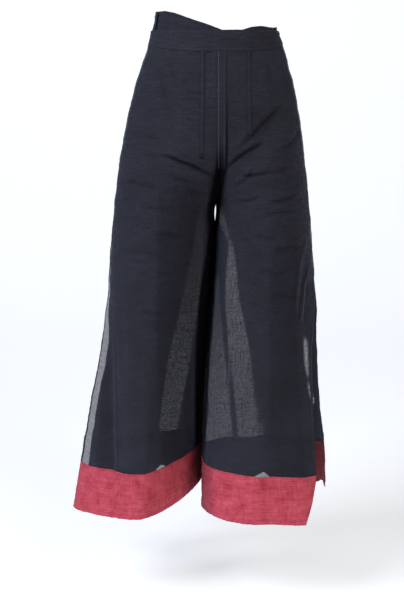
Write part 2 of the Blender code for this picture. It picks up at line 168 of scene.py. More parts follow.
def paper():
    """White background paper, matt."""
    material, tree, shader = new_material(
        "white_background_paper",
        Base_Color=linear("#DCDFE2"),
        Roughness=0.9,
        Specular_IOR_Level=0.1,
        Emission_Color=linear("#F7F9FB"),
        Emission_Strength=PAPER_GLOW,
    )
    grain = add(tree, "ShaderNodeTexNoise", Scale=240.0, Detail=4.0)
    bump = add(tree, "ShaderNodeBump", Strength=0.05, Distance=0.001, Height=grain.outputs["Fac"])
    tree.links.new(bump.outputs["Normal"], shader.inputs["Normal"])
    return material


sweep_mesh = bpy.data.meshes.new("paper_sweep")
profile = sweep_profile()
half_width = SWEEP_WIDTH / 2
sweep_mesh.from_pydata(
    [(x, y, z) for y, z in profile for x in (-half_width, half_width)],
    [],
    [(2 * i, 2 * i + 1, 2 * i + 3, 2 * i + 2) for i in range(len(profile) - 1)],
)
sweep_mesh.shade_smooth()
sweep_mesh.materials.append(paper())
sweep = bpy.data.objects.new("paper_sweep", sweep_mesh)
bpy.context.scene.collection.objects.link(sweep)

# %% [markdown]
# ## Light
#
# The paper glows by itself, so it stays white whatever the lights do. A large cool softbox stands well to
# the left, so that the left flank of each leg is blue-grey and its right flank falls into warm shade, and
# a weak one on the right keeps the shade open. Dark cloth shows its folds only under such side light.

# %% Hang the lights
SURROUND = "#FAFCFF"
SURROUND_STRENGTH = 0.22
Light = namedtuple("Light", "name place aim size power colour")
LIGHTS = (
    Light("left_softbox", (-2.8, -2.3, 2.2), (0.0, 0.0, -0.5), 2.2, 190.0, "#E8EEFF"),
    Light("front_right_softbox", (2.0, -3.4, 1.6), (0.0, 0.0, -0.5), 1.8, 80.0, "#FFF3E4"),
)

world = bpy.data.worlds.new("white_studio")
world.use_nodes = True
background = world.node_tree.nodes["Background"]
background.inputs["Color"].default_value = linear(SURROUND)
background.inputs["Strength"].default_value = SURROUND_STRENGTH
bpy.context.scene.world = world
for light in LIGHTS:
    data = bpy.data.lights.new(light.name, "AREA")
    data.size = light.size
    data.energy = light.power
    data.color = linear(light.colour)[:3]
    lamp = bpy.data.objects.new(light.name, data)
    lamp.location = light.place
    lamp.rotation_euler = (Vector(light.aim) - Vector(light.place)).to_track_quat("-Z", "Y").to_euler()
    bpy.context.scene.collection.objects.link(lamp)

# %% [markdown]
# ## The form of a leg
#
# A leg panel hangs on a general figure. Its form could be sculpted, but a table of level sections says
# the same in sizes that a cutter would know: how far out the leg reaches at each height, how deep it is
# to the front and the back, and where each panel's free side edge stops. A smooth curve through the rows
# gives every height between them, and the whole panel is worked out at once with arrays.

# %% State the sections of each leg
# Each row: the height, the plane between the legs, the outer reach, the depth to the front and the back,
# the squareness (2 is an ellipse), the angles at which the front and back panels end, how far the front
# edge stands out, and how far the inner side is swept back.
SECTION_NAMES = "z inner reach front back square front_end back_end flare sweep".split()
RIGHT_LEG = (
    (0.045, 0.011, -0.119, 0.092, 0.088, 2.1, -16, -16, 0.000, 0.000),
    (0.000, 0.011, -0.127, 0.094, 0.090, 2.1, -16, -16, 0.000, 0.000),
    (-0.040, 0.011, -0.137, 0.101, 0.098, 2.1, -16, -16, 0.000, 0.000),
    (-0.100, 0.011, -0.158, 0.113, 0.112, 2.1, -16, -16, 0.000, 0.000),
    (-0.170, 0.012, -0.175, 0.121, 0.124, 2.1, -15, -15, 0.000, 0.000),
    (-0.240, 0.010, -0.189, 0.124, 0.130, 2.1, -13, -14, 0.000, 0.000),
    (-0.334, -0.003, -0.201, 0.126, 0.130, 2.1, -9, -12, 0.000, 0.002),
    (-0.430, -0.006, -0.210, 0.131, 0.122, 2.1, -4, -10, 0.000, 0.010),
    (-0.526, -0.012, -0.215, 0.138, 0.116, 2.2, 2, -8, 0.002, 0.028),
    (-0.620, -0.018, -0.221, 0.148, 0.112, 2.2, 10, -5, 0.012, 0.048),
    (-0.732, -0.024, -0.240, 0.163, 0.112, 2.2, 18, -3, 0.017, 0.072),
    (-0.830, -0.028, -0.256, 0.179, 0.118, 2.2, 24, -1, 0.022, 0.090),
    (-0.920, -0.030, -0.268, 0.188, 0.131, 2.2, 28, 0, 0.029, 0.100),
)
LEFT_LEG = (
    (0.045, 0.011, 0.110, 0.092, 0.088, 2.1, -16, -16, 0.000, 0.000),
    (0.000, 0.011, 0.116, 0.094, 0.090, 2.1, -16, -16, 0.000, 0.000),
    (-0.040, 0.011, 0.129, 0.101, 0.098, 2.1, -16, -16, 0.000, 0.000),
    (-0.100, 0.011, 0.146, 0.113, 0.112, 2.1, -16, -16, 0.000, 0.000),
    (-0.170, 0.012, 0.160, 0.121, 0.124, 2.1, -15, -15, 0.000, 0.000),
    (-0.240, 0.010, 0.169, 0.124, 0.130, 2.1, -13, -14, 0.000, 0.000),
    (-0.334, -0.003, 0.180, 0.126, 0.130, 2.1, -9, -12, 0.000, 0.000),
    (-0.430, -0.006, 0.187, 0.131, 0.122, 2.2, 4, -10, 0.000, 0.000),
    (-0.526, -0.012, 0.197, 0.139, 0.116, 2.4, 27, -8, 0.000, 0.000),
    (-0.620, -0.018, 0.199, 0.150, 0.112, 2.6, 37, -5, 0.000, 0.000),
    (-0.732, -0.024, 0.207, 0.167, 0.112, 2.8, 43, -3, 0.000, 0.000),
    (-0.830, -0.028, 0.218, 0.186, 0.118, 3.3, 51.3, -1, 0.000, 0.000),
    (-0.920, -0.028, 0.221, 0.190, 0.131, 4.0, 72.0, 0, 0.000, 0.000),
)
LEGS = {"right": np.array(RIGHT_LEG), "left": np.array(LEFT_LEG)}
SIGN = {"right": -1.0, "left": 1.0}
TOWARD = {"front": -1.0, "back": 1.0}
LEG_PANELS = [(side, face) for side in SIGN for face in TOWARD]


def mix(a, b, t):
    return a + (b - a) * t


def smooth(low, high, value):
    """0 at low, 1 at high and an even S-curve between them."""
    t = np.clip((value - low) / (high - low), 0.0, 1.0)
    return t * t * (3.0 - 2.0 * t)


def sections(side, z):
    """Every value of the side's table at the heights z, on a smooth curve through the rows."""
    rows = LEGS[side]
    z = np.clip(z, rows[-1, 0], rows[0, 0])
    i = np.clip(np.searchsorted(-rows[:, 0], -z) - 1, 0, len(rows) - 2)
    a, b = rows[i], rows[i + 1]
    before, after = rows[np.maximum(i - 1, 0)], rows[np.minimum(i + 2, len(rows) - 1)]
    span = (b[..., 0] - a[..., 0])[..., None]
    t = (z - a[..., 0])[..., None] / span
    start = (b - before) / (b[..., :1] - before[..., :1]) * span
    end = (after - a) / (after[..., :1] - a[..., :1]) * span
    values = (
        (2 * t**3 - 3 * t**2 + 1) * a
        + (t**3 - 2 * t**2 + t) * start
        + (3 * t**2 - 2 * t**3) * b
        + (t**3 - t**2) * end
    )
    return {name: values[..., k] for k, name in enumerate(SECTION_NAMES)}


# %% [markdown]
# ## Where the legs part
#
# Above the crotch both front panels share one hip section, and below it each leg closes on itself. The
# numbers here say how the one turns into the other, how the crotch opens to a small gap, and how the
# inner side of a leg leans and hangs. The back hems hang a little lower than the front ones, and wave.

# %% Work out points on a leg
SEAM = 0.0003
UNDER = 0.0024
UNDER_START = 0.36
UNDER_END = 0.68
FLARE_WAY = (0.93, 0.37)
FLARE_START = 0.72
LEG_PARTING = 0.0003
CROTCH_PARTING = 0.0015
LEG_LEAN = 0.050
HEM_Z = {"right": -0.9160, "left": -0.9120}
BAND_DEPTH = 0.087
CROTCH_Z = -0.334
SPLIT_TOP_Z = -0.165
SPLIT_EASE = 1.6
BODY_MIDDLE = -0.005
CORNER_DROP = {"right": 0.000, "left": 0.016}
INSEAM_RAISE = {"right": 0.012, "left": -0.003}
BACK_HEM_DROP = {"right": 0.0060, "left": 0.0170}
SIDE_RISE = {"right": 0.000, "left": 0.005}
# Where the back hem waves up: x, half width and height
HEM_WAVES = {"right": (-0.116, 0.012, 0.013), "left": (0.094, 0.010, 0.018)}


def rounded(part, power):
    """A cosine or sine pulled towards a squarer corner."""
    return np.copysign(np.abs(part) ** power, part)


def legs_split(z):
    """0 where both legs share the hip section, and 1 from the crotch down."""
    return 1.0 - (1.0 - np.clip((SPLIT_TOP_Z - z) / (SPLIT_TOP_Z - CROTCH_Z), 0.0, 1.0)) ** SPLIT_EASE


def leg_form(side, face, u, z):
    """Points (x out from the middle, y, height) of a panel, and the way out of its section."""
    row = sections(side, z)
    sign = SIGN[side]
    split = legs_split(z)
    opening = smooth(CROTCH_Z, CROTCH_Z - 0.012, z) * (1.0 - smooth(CROTCH_Z - 0.018, CROTCH_Z - 0.040, z))
    gap = mix(SEAM / 2, LEG_PARTING, smooth(CROTCH_Z, CROTCH_Z - 0.060, z)) + CROTCH_PARTING * opening
    reach, inner = sign * row["reach"], sign * row["inner"] + gap
    middle = mix(sign * BODY_MIDDLE, (inner + reach) / 2.0, split)
    rx = reach - middle
    part = np.clip((inner - middle) / rx, -1.0, 1.0)
    start = np.arccos(rounded(part, row["square"] / 2.0))
    angle = mix(start, np.radians(row[f"{face}_end"]), u)
    own, other = (row["front"], row["back"]) if face == "front" else (row["back"], row["front"])
    ry = np.where(angle > 0, own, other)
    c, s = np.cos(angle), np.sin(angle)
    x = middle + rx * rounded(c, 2.0 / row["square"])
    y = ry * rounded(s, 2.0 / row["square"])
    power = 2.0 * (row["square"] - 1.0) / row["square"]
    out = np.stack([rounded(c, power) / rx, rounded(s, power) / ry], axis=-1)
    out /= np.linalg.norm(out, axis=-1, keepdims=True)
    return row, split, middle, rx, x, y, out


def leg_points(side, face, u, z, pressed=0.0, out_by=0.0):
    """Points of a leg panel's outer face. pressed moves them in, and out_by moves them out."""
    u, z = np.broadcast_arrays(np.asarray(u, float), np.asarray(z, float))
    row, split, middle, rx, x, y, out = leg_form(side, face, u, z)
    inward_by = pressed * smooth(0.0, 0.10, u) - out_by
    if face == "back":
        inward_by = inward_by + UNDER * smooth(UNDER_START, UNDER_END, u)
    else:
        stand = row["flare"] * smooth(FLARE_START, 1.0, u)
        x = x + FLARE_WAY[0] * stand
        y = y + FLARE_WAY[1] * stand
    x = x - out[..., 0] * inward_by
    y = y - out[..., 1] * inward_by
    inward = np.maximum(0.0, (middle - x) / rx) * split
    seam = np.where(split >= 1.0, SEAM / 2 * (1.0 - smooth(0.0, 0.05, u)), 0.0)
    y = TOWARD[face] * (y + seam) + row["sweep"] * inward**1.3
    turning = smooth(CROTCH_Z - 0.015, CROTCH_Z - 0.055, z)
    x = x + SIGN[side] * LEG_LEAN * turning * y * inward**2
    fall = z / HEM_Z[side]
    raised = INSEAM_RAISE[side] * inward * fall**4
    height = z + raised * (1.0 if face == "front" or side == "right" else 1.0 - smooth(0.0, 0.25, u))
    if face == "back":
        wave_x, wave_width, wave_height = HEM_WAVES[side]
        wave = wave_height * np.exp(-(((SIGN[side] * x - wave_x) / wave_width) ** 2))
        wave = wave * smooth(-0.80, -0.88, z)
        drop = mix(BACK_HEM_DROP[side], -SIDE_RISE[side], smooth(0.78, 1.0, u)) * smooth(0.0, 0.22, u)
        height = height - drop * fall**4 + wave
    if face == "front":
        height = height - CORNER_DROP[side] * smooth(0.35, 1.0, u) * fall**2
    return np.stack([SIGN[side] * x, y, height], axis=-1)


test_point = leg_points("left", "front", 1.0, HEM_Z["left"])
print("left front corner of the hem:", np.round(test_point, 3))

# %% [markdown]
# ## Creases
#
# Worn voile shows three kinds of crease: drag lines that run down from the hips to the crotch, small level
# wrinkles on the thighs, and long soft folds that hang in the lower legs. A simulation would put them where
# it likes, so each one is given from one end to the other, with a bend, a half width and a depth. A trough
# has a low lip on one side, as pushed cloth does.

# %% List the creases
# x and z of the two ends, how far the middle bows (+ is up, or outward on a steep one), half width, and
# depth. A plus depth is a trough and a minus depth is a ridge.
Crease = namedtuple("Crease", "x0 z0 x1 z1 bow width depth")
FRONT_CREASES = (
    # The large forms, which the construction model has too
    (-0.112, -0.236, -0.018, -0.276, 0.0, 0.016, 0.0040),
    (-0.090, -0.268, -0.030, -0.292, 0.0, 0.018, -0.0030),
    (0.090, -0.206, 0.020, -0.272, 0.0, 0.018, 0.0050),
    (0.134, -0.150, 0.062, -0.210, 0.0, 0.024, 0.0045),
    (0.128, -0.294, 0.060, -0.306, 0.0, 0.018, 0.0035),
    (0.150, -0.190, 0.112, -0.222, 0.0, 0.018, -0.0030),
    (0.178, -0.450, 0.148, -0.560, 0.0, 0.018, 0.0045),
    (0.148, -0.625, 0.120, -0.770, 0.0, 0.022, 0.0060),
    (0.016, -0.600, 0.044, -0.760, 0.0, 0.020, 0.0060),
    (0.082, -0.560, 0.078, -0.900, 0.0, 0.030, -0.0050),
    (-0.210, -0.560, -0.206, -0.900, 0.0, 0.018, 0.0080),
    (-0.150, -0.500, -0.140, -0.900, 0.0, 0.032, -0.0050),
    (-0.086, -0.640, -0.084, -0.900, 0.0, 0.020, 0.0050),
    # Drag lines from the hips to the crotch
    (-0.112, -0.228, -0.002, -0.276, 0.005, 0.0036, 0.0060),
    (-0.070, -0.226, -0.020, -0.258, -0.003, 0.0040, 0.0022),
    (-0.096, -0.262, -0.040, -0.284, -0.003, 0.0050, 0.0026),
    (-0.060, -0.292, -0.010, -0.308, -0.002, 0.0045, 0.0021),
    (0.094, -0.206, 0.008, -0.264, 0.009, 0.0038, 0.0056),
    (0.072, -0.248, 0.026, -0.290, -0.006, 0.0045, 0.0029),
    (0.126, -0.136, 0.044, -0.214, 0.003, 0.0054, 0.0044),
    (0.158, -0.182, 0.116, -0.222, -0.006, 0.0050, 0.0026),
    (0.132, -0.252, 0.094, -0.264, -0.003, 0.0045, 0.0026),
    (0.102, -0.260, 0.034, -0.268, -0.003, 0.0036, 0.0034),
    (0.152, -0.304, 0.094, -0.318, -0.004, 0.0050, 0.0032),
    (0.084, -0.306, 0.028, -0.318, -0.004, 0.0040, 0.0022),
    # Level wrinkles on the thighs
    (-0.168, -0.196, -0.112, -0.204, 0.003, 0.0042, 0.0016),
    (-0.150, -0.228, -0.098, -0.232, -0.003, 0.0040, 0.0014),
    (-0.178, -0.284, -0.104, -0.296, 0.004, 0.0048, 0.0019),
    (-0.150, -0.324, -0.082, -0.332, -0.003, 0.0045, 0.0016),
    (-0.184, -0.350, -0.128, -0.358, 0.003, 0.0044, 0.0016),
    (-0.128, -0.372, -0.060, -0.382, -0.004, 0.0048, 0.0019),
    (-0.176, -0.412, -0.106, -0.420, 0.003, 0.0046, 0.0016),
    (-0.120, -0.448, -0.070, -0.454, -0.002, 0.0042, 0.0014),
    (-0.148, -0.520, -0.096, -0.532, -0.003, 0.0050, 0.0022),
    (-0.138, -0.546, -0.102, -0.552, 0.002, 0.0042, 0.0016),
    (0.084, -0.344, 0.148, -0.338, 0.004, 0.0046, 0.0019),
    (0.060, -0.378, 0.118, -0.386, -0.003, 0.0044, 0.0018),
    (0.104, -0.412, 0.172, -0.404, 0.003, 0.0048, 0.0019),
    (0.070, -0.446, 0.128, -0.452, -0.003, 0.0044, 0.0016),
    (0.098, -0.492, 0.152, -0.500, 0.003, 0.0046, 0.0018),
    # Hips, under the waist seam
    (-0.118, -0.052, -0.096, -0.150, 0.004, 0.0060, 0.0012),
    (-0.086, -0.046, -0.078, -0.118, -0.003, 0.0050, 0.0010),
    (0.090, -0.050, 0.104, -0.138, 0.003, 0.0055, 0.0012),
    (0.118, -0.044, 0.136, -0.120, -0.003, 0.0055, 0.0011),
    # Long folds that hang in the lower legs
    (-0.204, -0.560, -0.192, -0.920, 0.000, 0.0034, -0.0026),
    (-0.186, -0.470, -0.180, -0.820, 0.004, 0.0080, 0.0020),
    (-0.118, -0.600, -0.112, -0.900, -0.004, 0.0090, 0.0022),
    (-0.052, -0.520, -0.060, -0.860, 0.005, 0.0080, 0.0022),
    (0.040, -0.480, 0.052, -0.700, -0.004, 0.0065, 0.0024),
    (0.110, -0.640, 0.100, -0.900, 0.004, 0.0090, 0.0024),
    (0.164, -0.560, 0.176, -0.860, -0.003, 0.0080, 0.0020),
    (0.172, -0.380, 0.148, -0.545, 0.004, 0.0030, -0.0034),
    (0.178, -0.425, 0.160, -0.575, 0.004, 0.0028, -0.0034),
)
BACK_CREASES = (
    (-0.120, -0.250, -0.030, -0.282, 0.0, 0.020, 0.0045),
    (0.105, -0.246, 0.022, -0.284, 0.0, 0.020, 0.0045),
    (-0.140, -0.310, -0.050, -0.326, 0.0, 0.018, 0.0035),
    (0.130, -0.306, 0.045, -0.322, 0.0, 0.018, 0.0035),
    (-0.196, -0.560, -0.206, -0.900, 0.0, 0.020, 0.0060),
    (-0.112, -0.520, -0.106, -0.900, 0.0, 0.028, 0.0060),
    (0.066, -0.540, 0.060, -0.900, 0.0, 0.026, 0.0060),
    (0.146, -0.600, 0.150, -0.900, 0.0, 0.022, 0.0055),
    (-0.100, -0.222, -0.024, -0.270, -0.006, 0.0048, 0.0022),
    (-0.126, -0.268, -0.040, -0.300, -0.006, 0.0048, 0.0020),
    (-0.084, -0.304, -0.020, -0.318, -0.004, 0.0042, 0.0016),
    (0.094, -0.228, 0.020, -0.272, -0.006, 0.0048, 0.0022),
    (0.118, -0.276, 0.036, -0.302, -0.006, 0.0050, 0.0020),
    (0.080, -0.308, 0.022, -0.322, -0.004, 0.0042, 0.0015),
    (-0.112, -0.056, -0.098, -0.140, 0.004, 0.0058, 0.0012),
    (0.082, -0.056, 0.096, -0.144, 0.004, 0.0056, 0.0012),
    (-0.150, -0.352, -0.080, -0.364, 0.004, 0.0046, 0.0013),
    (-0.120, -0.400, -0.054, -0.408, -0.004, 0.0046, 0.0012),
    (0.060, -0.356, 0.132, -0.350, 0.004, 0.0046, 0.0013),
    (0.084, -0.408, 0.150, -0.416, -0.004, 0.0046, 0.0012),
    (-0.148, -0.446, -0.092, -0.452, 0.003, 0.0044, 0.0010),
    (0.054, -0.462, 0.112, -0.468, 0.003, 0.0044, 0.0010),
    (-0.158, -0.560, -0.152, -0.900, 0.005, 0.0090, 0.0024),
    (-0.066, -0.600, -0.060, -0.900, -0.005, 0.0080, 0.0024),
    (0.104, -0.560, 0.104, -0.900, 0.005, 0.0085, 0.0024),
    (0.184, -0.560, 0.194, -0.860, -0.004, 0.0080, 0.0020),
)
CREASES = {
    "front": [Crease(*row) for row in FRONT_CREASES],
    "back": [Crease(*row) for row in BACK_CREASES],
}
print("creases:", {face: len(rows) for face, rows in CREASES.items()})
CREASE_STEPS = 8
LIP_SHARE = 0.40
LIP_AT = 1.7
# A narrow trough closes on itself and gets less light, and a sharp ridge catches more. The two shares
# are for each metre of depth, and a ridge counts from a least height up.
SHARP_WIDTH = 0.0060
TROUGH_DARK = 105.0
RIDGE_LIGHT = 620.0
RIDGE_FROM = 0.0020
LEAST_LIGHT = 0.30
MOST_LIGHT = 1.90


def crease_depth(x, y, z):
    """How far the creases press the cloth in. Layers that lie on each other at the side share them."""
    behind = smooth(-0.015, 0.015, y)
    return mix(pressed_by("front", x, z), pressed_by("back", x, z), behind)


def crease_light(face, x, z):
    """How much light the narrow creases let in: less in a trough, and more on a sharp ridge."""
    sharp = pressed_by(face, x, z, SHARP_WIDTH)
    light = 1.0 - TROUGH_DARK * np.maximum(sharp, 0.0) + RIDGE_LIGHT * np.maximum(-sharp - RIDGE_FROM, 0.0)
    return np.clip(light, LEAST_LIGHT, MOST_LIGHT)


def pressed_by(face, x, z, widest=1.0):
    """The depth of one face's creases at each place, of those up to the widest."""
    depth = np.zeros_like(x)
    for crease in CREASES[face]:
        if crease.width > widest:
            continue
        ts = np.linspace(0.0, 1.0, CREASE_STEPS + 1)
        px = mix(crease.x0, crease.x1, ts)
        pz = mix(crease.z0, crease.z1, ts)
        length = math.hypot(crease.x1 - crease.x0, crease.z1 - crease.z0)
        nx, nz = -(crease.z1 - crease.z0) / length, (crease.x1 - crease.x0) / length
        if nz < 0.0:
            nx, nz = -nx, -nz
        bow = crease.bow * 4.0 * ts * (1.0 - ts)
        px, pz = px + nx * bow, pz + nz * bow
        reach = 4.0 * crease.width
        near_x = (x > px.min() - reach) & (x < px.max() + reach)
        near = near_x & (z > pz.min() - reach) & (z < pz.max() + reach)
        if not near.any():
            continue
        qx, qz = x[near], z[near]
        best = np.full(qx.shape, np.inf)
        side = np.zeros(qx.shape)
        where = np.zeros(qx.shape)
        for i in range(CREASE_STEPS):
            dx, dz = px[i + 1] - px[i], pz[i + 1] - pz[i]
            t = np.clip(((qx - px[i]) * dx + (qz - pz[i]) * dz) / (dx * dx + dz * dz), 0.0, 1.0)
            ox, oz = qx - px[i] - t * dx, qz - pz[i] - t * dz
            distance = np.hypot(ox, oz)
            closer = distance < best
            best = np.where(closer, distance, best)
            side = np.where(closer, ox * nx + oz * nz, side)
            where = np.where(closer, (i + t) / CREASE_STEPS, where)
        ends = smooth(-0.02, 0.30, where) * (1.0 - 0.75 * smooth(0.70, 1.02, where))
        trough = np.exp(-((best / crease.width) ** 2))
        off_lip = np.hypot(np.maximum(best**2 - side**2, 0.0) ** 0.5, side - LIP_AT * crease.width)
        lip = np.exp(-((off_lip / crease.width) ** 2))
        depth[near] += crease.depth * ends * (trough - LIP_SHARE * lip)
    return depth


# %% [markdown]
# ## Crinkle
#
# Between the creases the voile is never flat: its thin yarns shrink unevenly and leave a fine crinkle.
# A few layers of smooth noise, stretched along the level weft, lift and lower the cloth by tenths of a
# millimetre. This is real relief in the mesh. The finer weave is left to the material.

# %% Add the crinkle
VOILE_CRINKLE = 0.00075
WAVE = 0.0016


# How often the two crinkles repeat in a metre, across and up, and where each cloth starts in the noise
FINE_ACROSS, FINE_UP = 85.0, 190.0
BROAD_ACROSS, BROAD_UP = 22.0, 34.0
LEG_SEED, WAISTBAND_SEED, TIE_SEED = 3.0, 21.0, 31.0


def crinkle(points, amount, wave, seed):
    """A small height for each point, from two sizes of smooth noise."""
    flat = points.reshape(-1, 3)
    values = np.empty(len(flat))
    for i, (x, y, z) in enumerate(flat):
        fine = noise.noise(Vector((x * FINE_ACROSS + seed, y * FINE_ACROSS, z * FINE_UP)))
        broad = noise.noise(Vector((x * BROAD_ACROSS, y * BROAD_ACROSS + seed, z * BROAD_UP)))
        values[i] = amount * fine + wave * broad
    return values.reshape(points.shape[:-1])


# %% [markdown]
# ## Voile
#
# Voile is a thin plain weave of tightly twisted cotton yarns with open gaps, so it is matt, a little
# crisp, and sheer: one layer over a pale ground looks grey, and two look almost black. The gaps are far
# finer than a pixel, so they are drawn as an even see-through share. Slubs, the thicker places in a
# yarn, show as short level and upright streaks. Yarns lie 0.35 mm apart on the real cloth and are drawn
# at 1 mm, which is coarse enough to show close up.

# %% Make the voile
MM = 0.001
YARN_PITCH = 1.0 * MM
SLUB_LENGTH = 26.0 * MM
SLUB_WIDTH = 1.3 * MM
FRONT_COVER = 0.775
DOUBLED_COVER = 0.995
SPECK = 2.8 * MM
VOILE_SHEEN = 0.22
VOILE_GLOSS = 0.25
# A wave texture draws this many bands in a unit at a scale of 1
WAVES_PER_UNIT = 20.0
YARN_SWAY = {"Distortion": 1.5, "Detail": 1.0}
SUM = {"operation": "ADD"}
MULTIPLY = {"operation": "MULTIPLY"}
SHARE_AND_SUM = {"operation": "MULTIPLY_ADD"}
BLEND = {"data_type": "RGBA"}
DARKEN = {"data_type": "RGBA", "blend_type": "MULTIPLY"}


def weave(tree, coordinate, pitch):
    """The height of a plain weave from two sets of rounded yarns."""
    scale = 1.0 / pitch / WAVES_PER_UNIT
    warp, weft = (
        add(tree, "ShaderNodeTexWave", {"bands_direction": way}, Vector=coordinate, Scale=scale, **YARN_SWAY)
        for way in "XZ"
    )
    woven = add(tree, "ShaderNodeMath", MULTIPLY, _0=warp.outputs["Fac"], _1=weft.outputs["Fac"])
    return woven.outputs["Value"]


def streaks(tree, coordinate, length, width, upright):
    """Noise stretched into streaks of that length and width."""
    across, along = 1.0 / width, 1.0 / length
    size = (across, across, along) if upright else (along, along, across)
    stretch = add(tree, "ShaderNodeMapping", Vector=coordinate, Scale=size)
    stretch = stretch.outputs["Vector"]
    return add(tree, "ShaderNodeTexNoise", Vector=stretch, Scale=1.0, Detail=2.0).outputs["Fac"]


def voile(name, cover=None, spread=0.6, speck_share=0.0, dye=1.0, painted_shade=None):
    """Navy-black cotton voile. With no cover given, it and the shade are painted on the cloth. Cloth in a
    seam can be given one flat near-black colour and no sheen instead: a painted shade, since no light
    reaches it."""
    material, tree, shader = new_material(
        name,
        Roughness=0.82,
        Specular_IOR_Level=VOILE_GLOSS,
        Sheen_Weight=0.0 if painted_shade else VOILE_SHEEN,
        Sheen_Roughness=0.45,
        Sheen_Tint=linear("#8C93B5"),
    )
    place = add(tree, "ShaderNodeTexCoord").outputs["Object"]
    level, upright = (streaks(tree, place, SLUB_LENGTH, SLUB_WIDTH, way) for way in (False, True))
    slub = add(tree, "ShaderNodeMath", SUM, _0=level, _1=upright).outputs["Value"]
    yarns = weave(tree, place, YARN_PITCH)
    fine = add(tree, "ShaderNodeBump", Strength=0.5, Distance=0.15 * MM, Height=yarns).outputs["Normal"]
    coarse = add(tree, "ShaderNodeBump", Strength=1.0, Distance=0.6 * MM, Height=slub, Normal=fine)
    tree.links.new(coarse.outputs["Normal"], shader.inputs["Normal"])
    if cover is not None:
        shader.inputs["Alpha"].default_value = cover
    if painted_shade:
        shader.inputs["Base Color"].default_value = linear(painted_shade)
        return material
    cloudy = add(tree, "ShaderNodeTexNoise", Vector=place, Scale=14.0, Detail=3.0).outputs["Fac"]
    tone = add(tree, "ShaderNodeMix", BLEND, Factor=cloudy, A=linear("#1B1C25"), B=linear("#2C2D39"))
    tone = tone.outputs["Result"]
    dyed = {"From_Min": 0.75, "From_Max": 1.30, "To_Min": 0.66 * dye, "To_Max": 1.38 * dye}
    streak = add(tree, "ShaderNodeMapRange", Value=slub, **dyed).outputs["Result"]
    colour = add(tree, "ShaderNodeMix", DARKEN, Factor=1.0, A=tone, B=streak).outputs["Result"]
    if cover is not None:
        tree.links.new(colour, shader.inputs["Base Color"])
        return material
    lit = add(tree, "ShaderNodeAttribute", {"attribute_name": "lit"}).outputs["Fac"]
    shaded = add(tree, "ShaderNodeMix", DARKEN, Factor=1.0, A=colour, B=lit)
    tree.links.new(shaded.outputs["Result"], shader.inputs["Base Color"])
    for name, most in (("Sheen Weight", VOILE_SHEEN), ("Specular IOR Level", VOILE_GLOSS)):
        share = add(tree, "ShaderNodeMath", MULTIPLY, _0=lit, _1=most)
        tree.links.new(share.outputs["Value"], shader.inputs[name])
    painted = add(tree, "ShaderNodeAttribute", {"attribute_name": "cover"}).outputs["Fac"]
    speck = add(tree, "ShaderNodeTexNoise", Vector=place, Scale=1.0 / SPECK, Detail=2.0).outputs["Fac"]
    grain = add(tree, "ShaderNodeMath", SHARE_AND_SUM, _0=speck, _1=speck_share, _2=slub).outputs["Value"]
    ends = {"From_Min": 0.78 + 0.40 * speck_share, "From_Max": 1.22 + 0.60 * speck_share}
    uneven = add(tree, "ShaderNodeMapRange", Value=grain, **ends, To_Min=-0.5 * spread, To_Max=0.5 * spread)
    gaps = add(tree, "ShaderNodeMath", {"operation": "SUBTRACT"}, _0=1.0, _1=painted).outputs["Value"]
    clamped = {"operation": "MULTIPLY_ADD", "use_clamp": True}
    total = add(tree, "ShaderNodeMath", clamped, _0=uneven.outputs["Result"], _1=gaps, _2=painted)
    tree.links.new(total.outputs["Value"], shader.inputs["Alpha"])
    return material


front_voile = voile("navy_cotton_voile")
back_voile = voile("navy_cotton_voile_in_fine_folds", spread=1.9, speck_share=1.6)
doubled_voile = voile("navy_cotton_voile_doubled", DOUBLED_COVER, dye=0.84)
pressed_voile = voile("navy_cotton_voile_pressed", dye=0.74)
# The cloth in the seams is painted near black with no sheen: painted shade, as no light reaches it.
shaded_voile = voile("navy_cotton_voile_in_painted_seam_shade", DOUBLED_COVER, painted_shade="#06060A")
print("cover of one layer, and of doubled cloth:", FRONT_COVER, DOUBLED_COVER)

# %% [markdown]
# ## Crimson cotton
#
# The bands are a heavier crinkled cotton, dyed crimson. The colour follows the crinkle: it is painted paler
# on the tops of the puckers and deeper in the hollows, a painted light and shade. It is opaque and matt.

# %% Make the crimson cotton
PUCKER = 24.0 * MM
CRIMSON_YARN = 1.2 * MM


